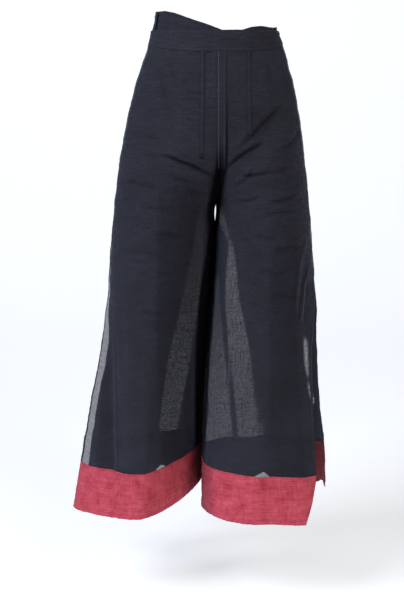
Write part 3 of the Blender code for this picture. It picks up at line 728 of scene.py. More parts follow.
def crimson_cotton(name, deep, pale):
    """Crinkled cotton, with painted shade in the hollows and a painted highlight on the tops of the puckers.
    """
    material, tree, shader = new_material(
        name,
        Roughness=0.85,
        Specular_IOR_Level=0.2,
        Sheen_Weight=0.08,
        Sheen_Roughness=0.5,
        Sheen_Tint=linear("#E8A8B4"),
    )
    place = add(tree, "ShaderNodeTexCoord").outputs["Object"]
    rough = {"Detail": 4.0, "Roughness": 0.58, "Distortion": 0.6}
    pucker = add(tree, "ShaderNodeTexNoise", Vector=place, Scale=1.0 / PUCKER, **rough).outputs["Fac"]
    upright = streaks(tree, place, 26.0 * MM, 1.6 * MM, True)
    level = streaks(tree, place, 34.0 * MM, 1.8 * MM, False)
    thread = add(tree, "ShaderNodeMath", SUM, _0=upright, _1=level).outputs["Value"]
    crinkled = add(tree, "ShaderNodeMath", SHARE_AND_SUM, _0=pucker, _1=1.5, _2=thread).outputs["Value"]
    # The crinkle's height sets the colour too: painted highlight on the puckers, painted shade in the
    # hollows.
    pucker_light = add(tree, "ShaderNodeMapRange", Value=crinkled, From_Min=1.18, From_Max=2.30).outputs["Result"]
    tone = add(tree, "ShaderNodeMix", BLEND, Factor=pucker_light, A=linear(deep), B=linear(pale)).outputs["Result"]
    lit = add(tree, "ShaderNodeAttribute", {"attribute_name": "lit"}).outputs["Fac"]
    shown = add(tree, "ShaderNodeMix", DARKEN, Factor=1.0, A=tone, B=lit)
    yarns = weave(tree, place, CRIMSON_YARN)
    fine = add(tree, "ShaderNodeBump", Strength=0.5, Distance=0.2 * MM, Height=yarns).outputs["Normal"]
    coarse = add(tree, "ShaderNodeBump", Strength=1.0, Distance=1.2 * MM, Height=crinkled, Normal=fine)
    tree.links.new(shown.outputs["Result"], shader.inputs["Base Color"])
    tree.links.new(coarse.outputs["Normal"], shader.inputs["Normal"])
    return material


crimson = crimson_cotton("crinkled_crimson_cotton", "#962433", "#D05A6A")

# %% [markdown]
# ## Thread
#
# Sewing thread is cotton twisted hard and singed smooth, so it has a little more gloss than the cloth.
# Its twist shows as slanting bands of two tones. The thread at the centre front is worn grey.

# %% Make the threads
TWIST = 0.6 * MM


def thread_material(name, dark, light):
    """Twisted cotton sewing thread, with a faint gloss."""
    material, tree, shader = new_material(name, Roughness=0.55)
    place = add(tree, "ShaderNodeTexCoord").outputs["Object"]
    slanting = {"bands_direction": "DIAGONAL"}
    twist = add(tree, "ShaderNodeTexWave", slanting, Vector=place, Scale=1.0 / TWIST / WAVES_PER_UNIT)
    twist = twist.outputs["Fac"]
    tone = add(tree, "ShaderNodeMix", BLEND, Factor=twist, A=linear(dark), B=linear(light))
    bump = add(tree, "ShaderNodeBump", Strength=0.4, Distance=0.1 * MM, Height=twist)
    tree.links.new(tone.outputs["Result"], shader.inputs["Base Color"])
    tree.links.new(bump.outputs["Normal"], shader.inputs["Normal"])
    return material


navy_thread = thread_material("navy_cotton_thread", "#262833", "#3B3E4D")
worn_thread = thread_material("worn_grey_cotton_thread", "#565968", "#6C7080")
crimson_thread = thread_material("crimson_cotton_thread", "#6A1B2C", "#8E2E42")

# %% [markdown]
# ## Leg panels
#
# A panel of voile is one thin sheet, so it is built as one: a grid of points with faces between them.
# A solid wall would double every see-through layer. Each panel's grid is fine enough to carry creases a
# few millimetres wide, and its top and bottom rows stop at the waist seam and at the hem band.
#
# The back panels hang in many fine folds, which together hide everything, and fall flat and sheer in a few
# long wedges beside the inseams. Those are too fine to fold by hand, so their cover is painted. The cloth
# between the thighs faces its twin a finger's width away and gets almost no light, so its shade is painted
# too. Broad bands down the fronts, where the legs round away from the light, get painted shade as well.

# %% Build a sheet from a grid
VOILE_MIDDLE = 0.0007
PANEL_COLUMNS = 132
PANEL_ROW_STEP = 0.0026
WAIST_SEAM_Z = -0.0380
WAIST_SEAM_RISE = 0.0120
BACK_SEAM_Z = -0.0400
BACK_SEAM_AT_SIDE = {"right": -0.0040, "left": -0.0330}


def make_piece(name, points, faces, material):
    """A smooth mesh object from points and faces."""
    mesh = bpy.data.meshes.new(name)
    mesh.from_pydata([tuple(p) for p in points], [], faces)
    mesh.materials.append(material)
    mesh.shade_smooth()
    piece = bpy.data.objects.new(name, mesh)
    bpy.context.scene.collection.objects.link(piece)
    return piece


def dress(piece, node=None):
    """The piece moves with the body and takes a node's place."""
    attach(piece, BODY)
    if node:
        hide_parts(node)
    return piece


def grid_faces(rows, columns, start=0, flip=False):
    """The quads of a grid whose points are listed row by row."""
    faces = []
    for i in range(rows - 1):
        for j in range(columns - 1):
            a = start + i * columns + j
            quad = (a, a + 1, a + columns + 1, a + columns)
            faces.append(quad[::-1] if flip else quad)
    return faces


def normals_of(points):
    """The way out of the garment at each point of a grid, from its neighbours."""
    across = np.gradient(points, axis=1)
    down = np.gradient(points, axis=0)
    normal = np.cross(down, across)
    normal /= np.linalg.norm(normal, axis=-1, keepdims=True)
    from_middle = points[..., :2] - [points[..., 0].mean(), 0.0]
    return normal * np.sign((normal[..., :2] * from_middle).sum())


def waist_seam(side, face, u):
    if face == "front":
        return WAIST_SEAM_Z + WAIST_SEAM_RISE * smooth(0.15, 0.95, u)
    return mix(BACK_SEAM_Z, BACK_SEAM_AT_SIDE[side], smooth(0.20, 0.95, u))


def panel_points(side, face):
    """The grid of a leg panel, creased, from the waist seam to the hem band."""
    bottom = HEM_Z[side] + BAND_DEPTH + SEAM / 2
    u = np.linspace(0.0, 1.0, PANEL_COLUMNS + 1)
    top = waist_seam(side, face, u)
    rows = int((-bottom + top.mean()) / PANEL_ROW_STEP)
    part = np.linspace(0.0, 1.0, rows + 1)[:, None]
    z = mix(top[None, :], bottom, part)
    u = np.broadcast_to(u, z.shape)
    plain = leg_points(side, face, u, z)
    pressed = crease_depth(plain[..., 0], plain[..., 1], z)
    edge = smooth(0.0, 0.06, u)
    lift = crinkle(plain, VOILE_CRINKLE, WAVE, LEG_SEED) * edge
    return leg_points(side, face, u, z, pressed, lift - VOILE_MIDDLE * edge)


def paint(piece, name, values):
    """Store a value for each point of a piece under a name that its material reads."""
    layer = piece.data.attributes.new(name, "FLOAT", "POINT")
    layer.data.foreach_set("value", values.reshape(-1).astype(np.float32))


# Each zone is a list of rows: the height, the x of its two edges, and the cover of the cloth there. The
# fourth is two slivers beside the left side hem, where the back panel hangs away and daylight shows.
SHEER_ZONES = (
    ((-0.340, 0.004, 0.010, 0.90), (-0.372, 0.001, 0.016, 0.88), (-0.425, 0.024, 0.028, 0.88)),
    (
        (-0.410, 0.027, 0.030, 0.76),
        (-0.483, 0.019, 0.040, 0.76),
        (-0.545, 0.017, 0.046, 0.79),
        (-0.638, 0.025, 0.066, 0.79),
        (-0.755, 0.038, 0.080, 0.83),
        (-0.840, 0.046, 0.092, 0.84),
    ),
    (
        (-0.470, 0.001, 0.003, 0.92),
        (-0.545, -0.006, 0.006, 0.92),
        (-0.638, -0.012, 0.015, 0.87),
        (-0.755, -0.020, 0.026, 0.82),
        (-0.840, -0.024, 0.034, 0.82),
    ),
    (
        (-0.606, 0.1770, 0.1805, 0.993),
        (-0.622, 0.1770, 0.1830, 0.20),
        (-0.672, 0.1800, 0.1860, 0.10),
        (-0.690, 0.1830, 0.1870, 0.30),
        (-0.704, 0.1850, 0.1880, 0.993),
        (-0.722, 0.1870, 0.1910, 0.30),
        (-0.744, 0.1920, 0.1970, 0.25),
        (-0.756, 0.1950, 0.1970, 0.993),
    ),
    (
        (-0.356, -0.036, -0.026, 0.97),
        (-0.441, -0.048, -0.028, 0.96),
        (-0.545, -0.070, -0.036, 0.94),
        (-0.681, -0.102, -0.056, 0.90),
        (-0.814, -0.119, -0.080, 0.89),
        (-0.840, -0.119, -0.084, 0.89),
    ),
)
# Each zone of painted shade down the fronts, where the legs round away from the light: height, edges and
# what is lit.
FOLD_SHADE_ZONES = (
    (
        (-0.230, -0.110, -0.050, 1.00),
        (-0.330, -0.112, -0.034, 0.78),
        (-0.520, -0.118, -0.040, 0.72),
        (-0.700, -0.114, -0.052, 0.76),
        (-0.840, -0.104, -0.052, 0.76),
    ),
    (
        (-0.300, 0.105, 0.140, 1.00),
        (-0.400, 0.100, 0.152, 0.84),
        (-0.560, 0.097, 0.150, 0.78),
        (-0.840, 0.100, 0.165, 0.80),
    ),
    (
        (-0.560, -0.226, -0.208, 1.00),
        (-0.640, -0.224, -0.206, 0.76),
        (-0.840, -0.232, -0.198, 0.74),
    ),
)
FOLD_SHADE_EDGE = 0.006
FOLDED_COVER = 0.993
ZONE_EDGE = 0.003
# How wide the cloth beside the inseams lies in shade at each height
SHADE_HEIGHTS = (-1.00, -0.87, -0.735, -0.62, -0.53, -0.47, -0.43, -0.375, -0.334, -0.24, -0.12, 0.05)
SHADE_WIDTHS = {
    "right": (0.018, 0.020, 0.024, 0.028, 0.027, 0.023, 0.018, 0.013, 0.016, 0.013, 0.001, 0.000),
    "left": (0.002, 0.002, 0.002, 0.003, 0.004, 0.005, 0.005, 0.006, 0.010, 0.008, 0.001, 0.000),
}
SHADE_EDGE = 0.004
SHADED = 0.12


def zoned(points, base, zones, edge):
    """A value for each point: the base, but what a zone says inside it, with soft edges."""
    x, z = points[..., 0], points[..., 2]
    value = np.full_like(x, base)
    for zone in zones:
        rows = np.array(zone)[::-1]
        low, high, here = (np.interp(z, rows[:, 0], rows[:, k]) for k in (1, 2, 3))
        ends = smooth(rows[-1, 0], rows[-1, 0] - 0.03, z)
        inside = smooth(low - edge, low + edge, x) * (1.0 - smooth(high - edge, high + edge, x))
        value = mix(value, here, inside * ends)
    return value


def shade_of(side, points):
    """How deep the cloth between the thighs lies in shade, from 0 to 1."""
    width = np.interp(points[..., 2], SHADE_HEIGHTS, SHADE_WIDTHS[side])
    seam_x = points[:, :1, 0]
    away = np.abs(points[..., 0] - seam_x)
    return 1.0 - smooth(width - SHADE_EDGE, width + SHADE_EDGE, away)


panels, legs = {}, {}
for side, face in LEG_PANELS:
    points = panels[side, face] = panel_points(side, face)
    faces = grid_faces(*points.shape[:2], 0, SIGN[side] * TOWARD[face] < 0)
    cloth = front_voile if face == "front" else back_voile
    leg = make_piece(f"{side}_{face}_voile_panel", points.reshape(-1, 3), faces, cloth)
    shade = shade_of(side, points)
    if face == "front":
        cover = np.full_like(shade, FRONT_COVER)
        lit = zoned(points, 1.0, FOLD_SHADE_ZONES, FOLD_SHADE_EDGE) * crease_light(face, points[..., 0], points[..., 2])
    else:
        cover, lit = zoned(points, FOLDED_COVER, SHEER_ZONES, ZONE_EDGE), 1.0
    paint(leg, "cover", np.maximum(cover, shade * DOUBLED_COVER))
    paint(leg, "lit", mix(lit, SHADED, shade))
    legs[side, face] = dress(leg, f"{side}_{face}_leg")
    print(leg.name, "faces:", len(faces))

# %% [markdown]
# ## Doubled cloth
#
# Hem bands, waistbands, ties and side hems are cloth turned back on itself, so they are thicker and
# their edges are rounded folds. One function wraps such a piece: it takes a grid for the outer face,
# moves a copy in by the thickness, and joins the two with half-round edges.

# %% Wrap a doubled piece round its grid
EDGE_STEPS = 4
EDGE_BULGE = 0.9


def doubled(name, outer, normals, thickness, material, lining=None, turned=0.0):
    """A closed piece: the outer grid, an inner grid, and rounded edges between them. With a lining, the
    inner face is of that cloth, except where the last columns are turned in by a length."""
    rows, columns = outer.shape[:2]
    inner = outer - normals * thickness
    points = [*outer.reshape(-1, 3), *inner.reshape(-1, 3)]
    faces = grid_faces(rows, columns) + grid_faces(rows, columns, rows * columns, True)
    rim = [(0, j) for j in range(columns)] + [(i, columns - 1) for i in range(1, rows)]
    rim += [(rows - 1, j) for j in range(columns - 2, -1, -1)] + [(i, 0) for i in range(rows - 2, 0, -1)]
    loops = [[i * columns + j for i, j in rim]]
    for step in range(1, EDGE_STEPS):
        a = math.pi * step / EDGE_STEPS
        loop = []
        for i, j in rim:
            before_i, before_j = min(max(i, 1), rows - 2), min(max(j, 1), columns - 2)
            away = outer[i, j] - outer[before_i, before_j]
            away = away - normals[i, j] * np.dot(away, normals[i, j])
            away = away / max(np.linalg.norm(away), 1e-9)
            half = thickness / 2
            middle = outer[i, j] - normals[i, j] * half
            loop.append(len(points))
            points.append(middle + half * (normals[i, j] * math.cos(a) + away * math.sin(a) * EDGE_BULGE))
        loops.append(loop)
    loops.append([rows * columns + i * columns + j for i, j in rim])
    for first, second in zip(loops, loops[1:]):
        for k in range(len(rim)):
            following = (k + 1) % len(rim)
            faces.append((first[k], second[k], second[following], first[following]))
    piece = make_piece(name, points, faces, material)
    if lining:
        piece.data.materials.append(lining)
        to_end = np.cumsum(np.linalg.norm(np.diff(outer[:, ::-1], axis=1), axis=-1), axis=1)[:, ::-1]
        first = (rows - 1) * (columns - 1)
        for k in np.flatnonzero(to_end[:-1] > turned):
            piece.data.polygons[first + int(k)].material_index = 1
        for step in range(1, EDGE_STEPS):
            for j in range(columns - 1):
                piece.data.polygons[2 * first + step * len(rim) + j].material_index = 1
    clean = bmesh.new()
    clean.from_mesh(piece.data)
    bmesh.ops.recalc_face_normals(clean, faces=clean.faces)
    clean.to_mesh(piece.data)
    clean.free()
    return piece


# %% [markdown]
# ## Hem bands
#
# Each leg ends in a crimson band 87 mm deep, sewn to the voile's edge and lined with voile inside. At its
# open side the crimson turns in over the lining, far in on the left back and not at all on the right
# back. The cloth puckers along both edges, so its crinkle is rougher than the voile's, and short dents
# stand where the stitches pull.

# %% Build the hem bands
BAND_THICK = 0.0018
# How far in from its side edge a band's inner face is crimson
BAND_TURNED = {"right": {"front": 0.018, "back": 0.0}, "left": {"front": 0.018, "back": 0.105}}
BAND_ROWS = 36
BAND_COLUMNS = 150
BAND_CRINKLE = 0.0014
BAND_WAVE = 0.0016
# The share of light that reaches a band beside the inseam, and a back band at its side
BAND_SHADED = {"right": 0.10, "left": 0.60}
BAND_SHADE_WIDTH = 0.030
SIDE_SHADED = 0.42
PUCKER_PITCH = 0.011
PUCKER_DEPTH = 0.0005


def band_points(side, face):
    """The grid of a hem band's outer face, with the long folds of the leg carried on into it."""
    top = HEM_Z[side] + BAND_DEPTH - SEAM / 2
    u = np.linspace(0.0, 1.0, BAND_COLUMNS + 1)
    z = mix(top, HEM_Z[side], np.linspace(0.0, 1.0, BAND_ROWS + 1))[:, None]
    u, z = np.broadcast_arrays(u, z)
    plain = leg_points(side, face, u, z)
    pressed = crease_depth(plain[..., 0], plain[..., 1], z)
    lift = crinkle(plain, BAND_CRINKLE, BAND_WAVE, LEG_SEED)
    along = np.cumsum(np.linalg.norm(np.diff(plain, axis=1, prepend=plain[:, :1]), axis=-1), axis=1)
    near_edge = np.exp(-(((z - HEM_Z[side]) / 0.012) ** 2)) + np.exp(-(((z - top) / 0.010) ** 2))
    uneven = 2.0 * np.sin(along * 60.0)
    lift = lift + PUCKER_DEPTH * near_edge * np.sin(2 * math.pi * along / PUCKER_PITCH + uneven)
    calm = smooth(0.0, 0.05, u) * (1.0 - 0.5 * smooth(0.95, 1.0, u))
    return leg_points(side, face, u, z, pressed, lift * calm)


bands, band_grids = {}, {}
for side, face in LEG_PANELS:
    points = band_points(side, face)
    normals = normals_of(points)
    band_grids[side, face] = (points, normals)
    turned = BAND_TURNED[side][face]
    name = f"{side}_{face}_crimson_band"
    band = doubled(name, points, normals, BAND_THICK, crimson, doubled_voile, turned)
    skin_x = np.array([vertex.co.x for vertex in band.data.vertices])
    from_seam = np.abs(skin_x - points[0, 0, 0])
    lit = mix(BAND_SHADED[side], 1.0, smooth(0.002, BAND_SHADE_WIDTH, from_seam))
    if face == "back":
        lit = lit * mix(1.0, SIDE_SHADED, smooth(0.150, 0.190, np.abs(skin_x)))
    paint(band, "lit", lit)
    bands[side, face] = dress(band, f"{side}_{face}_hem_band")

# %% [markdown]
# ## Inseams and crotch seam
#
# Front and back are joined between the legs, and both halves along the crotch. Inside each seam lie the
# raw edges, pressed together, four layers deep: through sheer cloth they show as a dark line 5 to 15 mm
# wide. Each is a narrow strip that starts at the seam and runs into the leg, a little unevenly, and most
# of the cloth is pressed into the right leg.

# %% Build the seam allowances
# How wide the pressed edges are. Below: how far they lie behind the panel, and how much they wander
ALLOWANCE = {"right": 0.0150, "left": 0.0050}
ALLOWANCE_THICK = 0.0009
ALLOWANCE_COLUMNS = 6
ALLOWANCE_BEHIND = 0.0016
ALLOWANCE_WANDER = 0.0015


def allowance_points(side, face):
    """A strip from the inner edge of a panel into the leg."""
    points = panels[side, face]
    if face == "back":
        points = points[points[:, 0, 2] > CROTCH_Z]
    edge = points[:, 0]
    z = edge[:, 2]
    split = legs_split(z)
    width = ALLOWANCE[side] + ALLOWANCE_WANDER * (np.sin(z * 31.0) + 0.6 * np.sin(z * 83.0 + 1.0))
    share = np.linspace(0.0, 1.0, ALLOWANCE_COLUMNS + 1)
    grid = np.repeat(edge[:, None, :], ALLOWANCE_COLUMNS + 1, axis=1)
    grid[..., 0] += SIGN[side] * width[:, None] * share
    flat = ALLOWANCE_BEHIND * (1.0 - split) - ALLOWANCE_WANDER * split * np.sin(z * 47.0)
    grid[..., 1] -= TOWARD[face] * flat[:, None] * (0.4 + 0.6 * share)
    return grid


for side, face in LEG_PANELS:
    grid = allowance_points(side, face)
    out = np.zeros_like(grid)
    out[..., 1] = TOWARD[face]
    name = f"{side}_{face}_seam_allowance"
    # The pressed edges are painted near black: painted shade between the legs.
    strip = doubled(name, grid + out * ALLOWANCE_THICK / 2, out, ALLOWANCE_THICK, shaded_voile)
    dress(strip)

# %% [markdown]
# ## Side hems
#
# The sides of the legs are open from hip to hem, and each panel's free edge is turned in twice and
# stitched. Three layers of voile let no light through, so the hem reads as a dark line beside the sheer
# cloth. The strip follows the panel's own points, so it keeps every crease.

# %% Build the side hems
SIDE_HEM = 0.008
SIDE_HEM_THICK = 0.0012
SIDE_HEM_COLUMNS = 5


def along_rows(points, normals, distances):
    """Points and normals on each row of a grid at set distances from its last column."""
    found, directions = [], []
    for row, out in zip(points[:, ::-1], normals[:, ::-1]):
        steps = np.linalg.norm(np.diff(row, axis=0), axis=-1)
        at = np.concatenate([[0.0], np.cumsum(steps)])
        found.append(np.stack([np.interp(distances, at, row[:, k]) for k in range(3)], axis=-1))
        directions.append(np.stack([np.interp(distances, at, out[:, k]) for k in range(3)], axis=-1))
    return np.array(found), np.array(directions)


for side, face in LEG_PANELS:
    points = panels[side, face]
    distances = np.linspace(0.0, SIDE_HEM, SIDE_HEM_COLUMNS)
    strip, out = along_rows(points, normals_of(points), distances)
    strip = strip + out * SIDE_HEM_THICK / 2
    hem = doubled(f"{side}_{face}_turned_side_hem", strip, out, SIDE_HEM_THICK, doubled_voile)
    dress(hem, f"{side}_{face}_side_hem")

# %% [markdown]
# ## Waistbands
#
# Each waistband is a doubled strip of voile, level in front and pulled up behind on the right leg's side,
# where the back half wraps to the front. The pull leaves slanting dents in it, so a second, finer noise
# is laid over the form.

# %% Build the waistbands
WAISTBAND_THICK = 0.0022
WAISTBAND_ROWS = 22
WAISTBAND_COLUMNS = 110
WAISTBAND_CRINKLE = 0.0012
WAISTBAND_WAVE = 0.0014
FRONT_TOP_AT_SIDE = -0.0035
BACK_BAND_DEPTH = 0.0370


def waist_top(side, face, u):
    if face == "front":
        return FRONT_TOP_AT_SIDE * smooth(0.3, 1.0, u)
    return waist_seam(side, face, u) + BACK_BAND_DEPTH


def waistband_side(side, face):
    """One side's grid of a waistband, from the centre to the side line."""
    u = np.linspace(0.0, 1.0, WAISTBAND_COLUMNS + 1)[None, :]
    part = np.linspace(0.0, 1.0, WAISTBAND_ROWS + 1)[:, None]
    z = mix(waist_top(side, face, u), waist_seam(side, face, u) + SEAM / 2, part)
    u = np.broadcast_to(u, z.shape)
    plain = leg_points(side, face, u, z)
    lift = crinkle(plain, WAISTBAND_CRINKLE, WAISTBAND_WAVE, WAISTBAND_SEED)
    lift = lift - 0.0005 * np.exp(-(((part - 0.5) / 0.22) ** 2))
    calm = 1.0 - smooth(0.90, 1.0, u)
    return leg_points(side, face, u, z, 0.0, lift * calm)


waistbands, waist_grids = {}, {}
for face in TOWARD:
    right, left = waistband_side("right", face), waistband_side("left", face)
    points = np.concatenate([right[:, :0:-1], left], axis=1)
    normals = normals_of(points)
    waist_grids[face] = (points, normals)
    band = doubled(f"{face}_voile_waistband", points, normals, WAISTBAND_THICK, doubled_voile)
    waistbands[face] = dress(band, f"{face}_waistband")
    print(band.name, "grid:", points.shape[:2])

# %% [markdown]
# ## Ties
#
# The back waistband ends in two ties that wrap forward inside the front one, and the front waistband
# ends in two that go round the back and knot there. A tie is a narrow tube of voile pressed flat, so it
# folds along its length. The heights of its edges are given at a few angles round the waist.

# %% Build the ties
TIE_THICK = 0.0018
TIE_COLUMNS = 90
TIE_ROWS = 14
TIE_FOLD = 0.0009
TIE_CRINKLE = 0.0007
TIE_WAVE = 0.0007
TiePoint = namedtuple("TiePoint", "angle top bottom inside")
BACK_TIES = {
    "right": (
        TiePoint(11.0, 0.0330, -0.0036, 0.0056),
        TiePoint(32, 0.0345, -0.0036, 0.0056),
        TiePoint(48, 0.0310, -0.0060, 0.0056),
        TiePoint(63, 0.0230, -0.0130, 0.0056),
        TiePoint(83, 0.0108, -0.0230, 0.0056),
        TiePoint(96, -0.0006, -0.0320, 0.0056),
    ),
    "left": (
        TiePoint(11.0, 0.0030, -0.0320, 0.0056),
        TiePoint(28, 0.0045, -0.0310, 0.0056),
        TiePoint(42, 0.0070, -0.0290, 0.0056),
        TiePoint(55, 0.0055, -0.0300, 0.0056),
        TiePoint(66, 0.0000, -0.0330, 0.0056),
        TiePoint(83.6, -0.0060, -0.0350, 0.0056),
    ),
}
FRONT_TIE = (
    TiePoint(16.4, -0.0045, -0.0260, 0.0000),
    TiePoint(24, -0.0050, -0.0265, -0.0006),
    TiePoint(38, -0.0055, -0.0270, -0.0026),
    TiePoint(58, -0.0060, -0.0280, -0.0026),
    TiePoint(90, -0.0070, -0.0270, -0.0026),
)
BACK_TIE_FOLDS = ((0.22, TIE_FOLD), (0.55, 1.6 * TIE_FOLD), (0.80, TIE_FOLD))
FRONT_TIE_FOLDS = ((0.35, TIE_FOLD), (0.68, 1.3 * TIE_FOLD))
KNOT_HALF = (0.0170, 0.0085, 0.0130)
KNOT_Z = -0.0170


def ring_points(side, face, angle, z, inside):
    """Points of the waist's ring past the side line by an angle, and the way out there."""
    row, far = sections(side, z), sections("right" if side == "left" else "left", z)
    sign, middle = SIGN[side], SIGN[side] * BODY_MIDDLE
    rx = np.where(angle > 90.0, -sign * far["reach"] + middle, sign * row["reach"] - middle)
    ry = row[face]
    c, s = np.cos(np.radians(angle)), np.sin(np.radians(angle))
    power = 2.0 * (row["square"] - 1.0) / row["square"]
    out = np.stack([rounded(c, power) / rx, rounded(s, power) / ry], axis=-1)
    out /= np.linalg.norm(out, axis=-1, keepdims=True)
    x = middle + rx * rounded(c, 2.0 / row["square"]) - out[..., 0] * inside
    y = ry * rounded(s, 2.0 / row["square"]) - out[..., 1] * inside
    points = np.stack([sign * x, TOWARD[face] * y, z], axis=-1)
    flat_out = np.stack([sign * out[..., 0], TOWARD[face] * out[..., 1], 0.0 * z], axis=-1)
    return points, flat_out


def eased(table, angles, field):
    """A field of a tie's table at the angles, with its corners rounded off."""
    values = np.interp(angles, [row.angle for row in table], [getattr(row, field) for row in table])
    for _ in range(12):
        values[1:-1] = (values[:-2] + 2 * values[1:-1] + values[2:]) / 4
    return values


def tie(name, node, side, face, table, last, folds):
    """A tie round the waist, with its folds: each the share of its width and its depth."""
    angles = np.linspace(table[0].angle, last, TIE_COLUMNS + 1)
    part = np.linspace(0.0, 1.0, TIE_ROWS + 1)[:, None]
    z = mix(eased(table, angles, "top"), eased(table, angles, "bottom"), part)
    angle = np.broadcast_to(angles, z.shape)
    inside = np.broadcast_to(eased(table, angles, "inside"), z.shape)
    plain, _ = ring_points(side, face, angle, z, inside)
    lift = crinkle(plain, TIE_CRINKLE, TIE_WAVE, TIE_SEED)
    for place, depth in folds:
        wander = place + 0.06 * np.sin(np.radians(angle) * 3.0 + place * 9.0)
        lift = lift - depth * np.exp(-(((part - wander) / 0.06) ** 2))
    ends = smooth(0.0, 4.0, angle - angles[0]) * smooth(0.0, 4.0, last - angle)
    points, _ = ring_points(side, face, angle, z, inside - lift * ends)
    return dress(doubled(name, points, normals_of(points), TIE_THICK, doubled_voile), node)


def knot_angle(side):
    """The angle past the side line at which a tie meets the knot."""
    row = sections(side, np.array(KNOT_Z))
    part = (KNOT_HALF[0] + SEAM) / abs(row["reach"] - BODY_MIDDLE)
    return float(np.degrees(np.arccos(part ** (row["square"] / 2.0))))


for side, table in BACK_TIES.items():
    name, node = f"{side}_back_voile_tie", f"{side}_back_tie"
    tie(name, node, side, "front", table, table[-1].angle, BACK_TIE_FOLDS)
    name, node = f"{side}_front_voile_tie", f"{side}_front_tie"
    tie(name, node, side, "back", FRONT_TIE, knot_angle(side), FRONT_TIE_FOLDS)

# %% [markdown]
# ## Knot and tails
#
# At the centre back the two front ties cross in a flat knot, and their short ends hang. A knot could be
# one cord bent round itself, but pressed cloth hides its path, so it is modelled as what shows: a
# rounded body with one turn of cloth across it and folds that run into the turn.

# %% Tie the knot
KNOT_AROUND = 72
KNOT_UP = 40
KNOT_SQUARE = 3.0
# The turn of cloth over the knot, and the folds that run into it
TURN_WIDTH = 0.0062
TURN_HEIGHT = 0.0026
KNOT_FOLDS = 5
KNOT_FOLD_DEPTH = 0.0011


def knot_points():
    """A rounded body that follows the waist's slope, with a turn of cloth over its middle."""
    across = np.linspace(0.0, 2 * math.pi, KNOT_AROUND, endpoint=False)[None, :]
    up = np.linspace(-math.pi / 2, math.pi / 2, KNOT_UP + 1)[:, None]
    power = 2.0 / KNOT_SQUARE
    unit = np.stack(
        [
            rounded(np.cos(up) * np.cos(across), power),
            rounded(np.cos(up) * np.sin(across), power),
            rounded(np.sin(up) + 0.0 * across, power),
        ],
        axis=-1,
    )
    x, y, z = (unit[..., k] * (KNOT_HALF[k] - TURN_HEIGHT) for k in range(3))
    lean = x + 0.25 * z
    turn = np.exp(-((lean / TURN_WIDTH) ** 4))
    ridges = np.sin((z / KNOT_HALF[2] + 0.35 * lean / KNOT_HALF[0]) * KNOT_FOLDS * math.pi / 2)
    folds = KNOT_FOLD_DEPTH * ridges * (1.0 - turn)
    cross_folds = 0.5 * KNOT_FOLD_DEPTH * np.sin(lean / TURN_WIDTH * math.pi * 2.2) * turn
    swell = TURN_HEIGHT * turn + folds + cross_folds
    length = np.sqrt(x**2 + y**2 + z**2)
    grow = 1.0 + swell / length
    waist = sections("left", KNOT_Z + z)["back"]
    seat = waist + 2 * SEAM + KNOT_HALF[1]
    out = seat + np.maximum(y * grow, -KNOT_HALF[1])
    return np.stack([BODY_MIDDLE + x * grow, out, KNOT_Z + z * grow], axis=-1)


points = knot_points()
rows = []
for i in range(KNOT_UP):
    for j in range(KNOT_AROUND):
        a, b = i * KNOT_AROUND + j, i * KNOT_AROUND + (j + 1) % KNOT_AROUND
        rows.append((a, b, b + KNOT_AROUND, a + KNOT_AROUND))
knot = make_piece("back_tie_knot", points.reshape(-1, 3), rows, doubled_voile)
closed = bmesh.new()
closed.from_mesh(knot.data)
bmesh.ops.remove_doubles(closed, verts=closed.verts, dist=1e-6)
bmesh.ops.recalc_face_normals(closed, faces=closed.faces)
closed.to_mesh(knot.data)
closed.free()
dress(knot, "tie_knot")
print("knot points:", len(knot.data.vertices))

# %% Hang the tails
TAIL_TOP_GAP = 0.0008
TAIL_LENGTH = {"right": 0.105, "left": 0.088}
TAIL_WIDTH = 0.020
TAIL_MIDDLE = 0.0105
TAIL_TOP_SHARE = 0.7
TAIL_SPREAD = 0.020
TAIL_LIFT = 0.0026
TAIL_ROWS = 60
TAIL_COLUMNS = 14
TAIL_FOLD = 0.0008


def tail_points(side):
    """The grid of a tail: narrow at the knot, then spreading as it hangs."""
    sign = SIGN[side]
    t = np.linspace(0.0, 1.0, TAIL_ROWS + 1)[:, None]
    z = KNOT_Z - KNOT_HALF[2] - TAIL_TOP_GAP - t * TAIL_LENGTH[side]
    edge = np.linspace(-0.5, 0.5, TAIL_COLUMNS + 1)[None, :]
    z = np.broadcast_to(z, (TAIL_ROWS + 1, TAIL_COLUMNS + 1))
    row = sections(side, z)
    rx = sign * row["reach"] - sign * BODY_MIDDLE
    middle = TAIL_MIDDLE + TAIL_SPREAD * smooth(0.0, 1.0, t)
    part = (middle + edge * mix(TAIL_TOP_SHARE, 1.0, smooth(0.0, 0.4, t)) * TAIL_WIDTH) / rx
    angle = np.degrees(np.arccos(part ** (row["square"] / 2.0)))
    fold = TAIL_FOLD * np.cos(edge * math.pi * 3.0) * (1.0 - 0.6 * t) + 0.0009 * np.sin(t * 9.0) * t
    return ring_points(side, "back", angle, z, -TAIL_LIFT - fold)[0]


for side in SIGN:
    points = tail_points(side)
    tail = doubled(f"{side}_hanging_tie_tail", points, normals_of(points), TIE_THICK, doubled_voile)
    dress(tail, f"{side}_tie_tail")
    print(tail.name, "length:", TAIL_LENGTH[side])

# %% [markdown]
# ## Placket and tucks
#
# A strip of doubled voile covers the centre front seam, and a narrow tuck lies on each side of it to
# take in the waist. They lie on the front panels, so their points are the panels' own, moved out.

# %% Lay the front strips
STRIP_THICK = 0.0006
STRIP_LIFT = 0.0002
STRIP_COLUMNS = 8
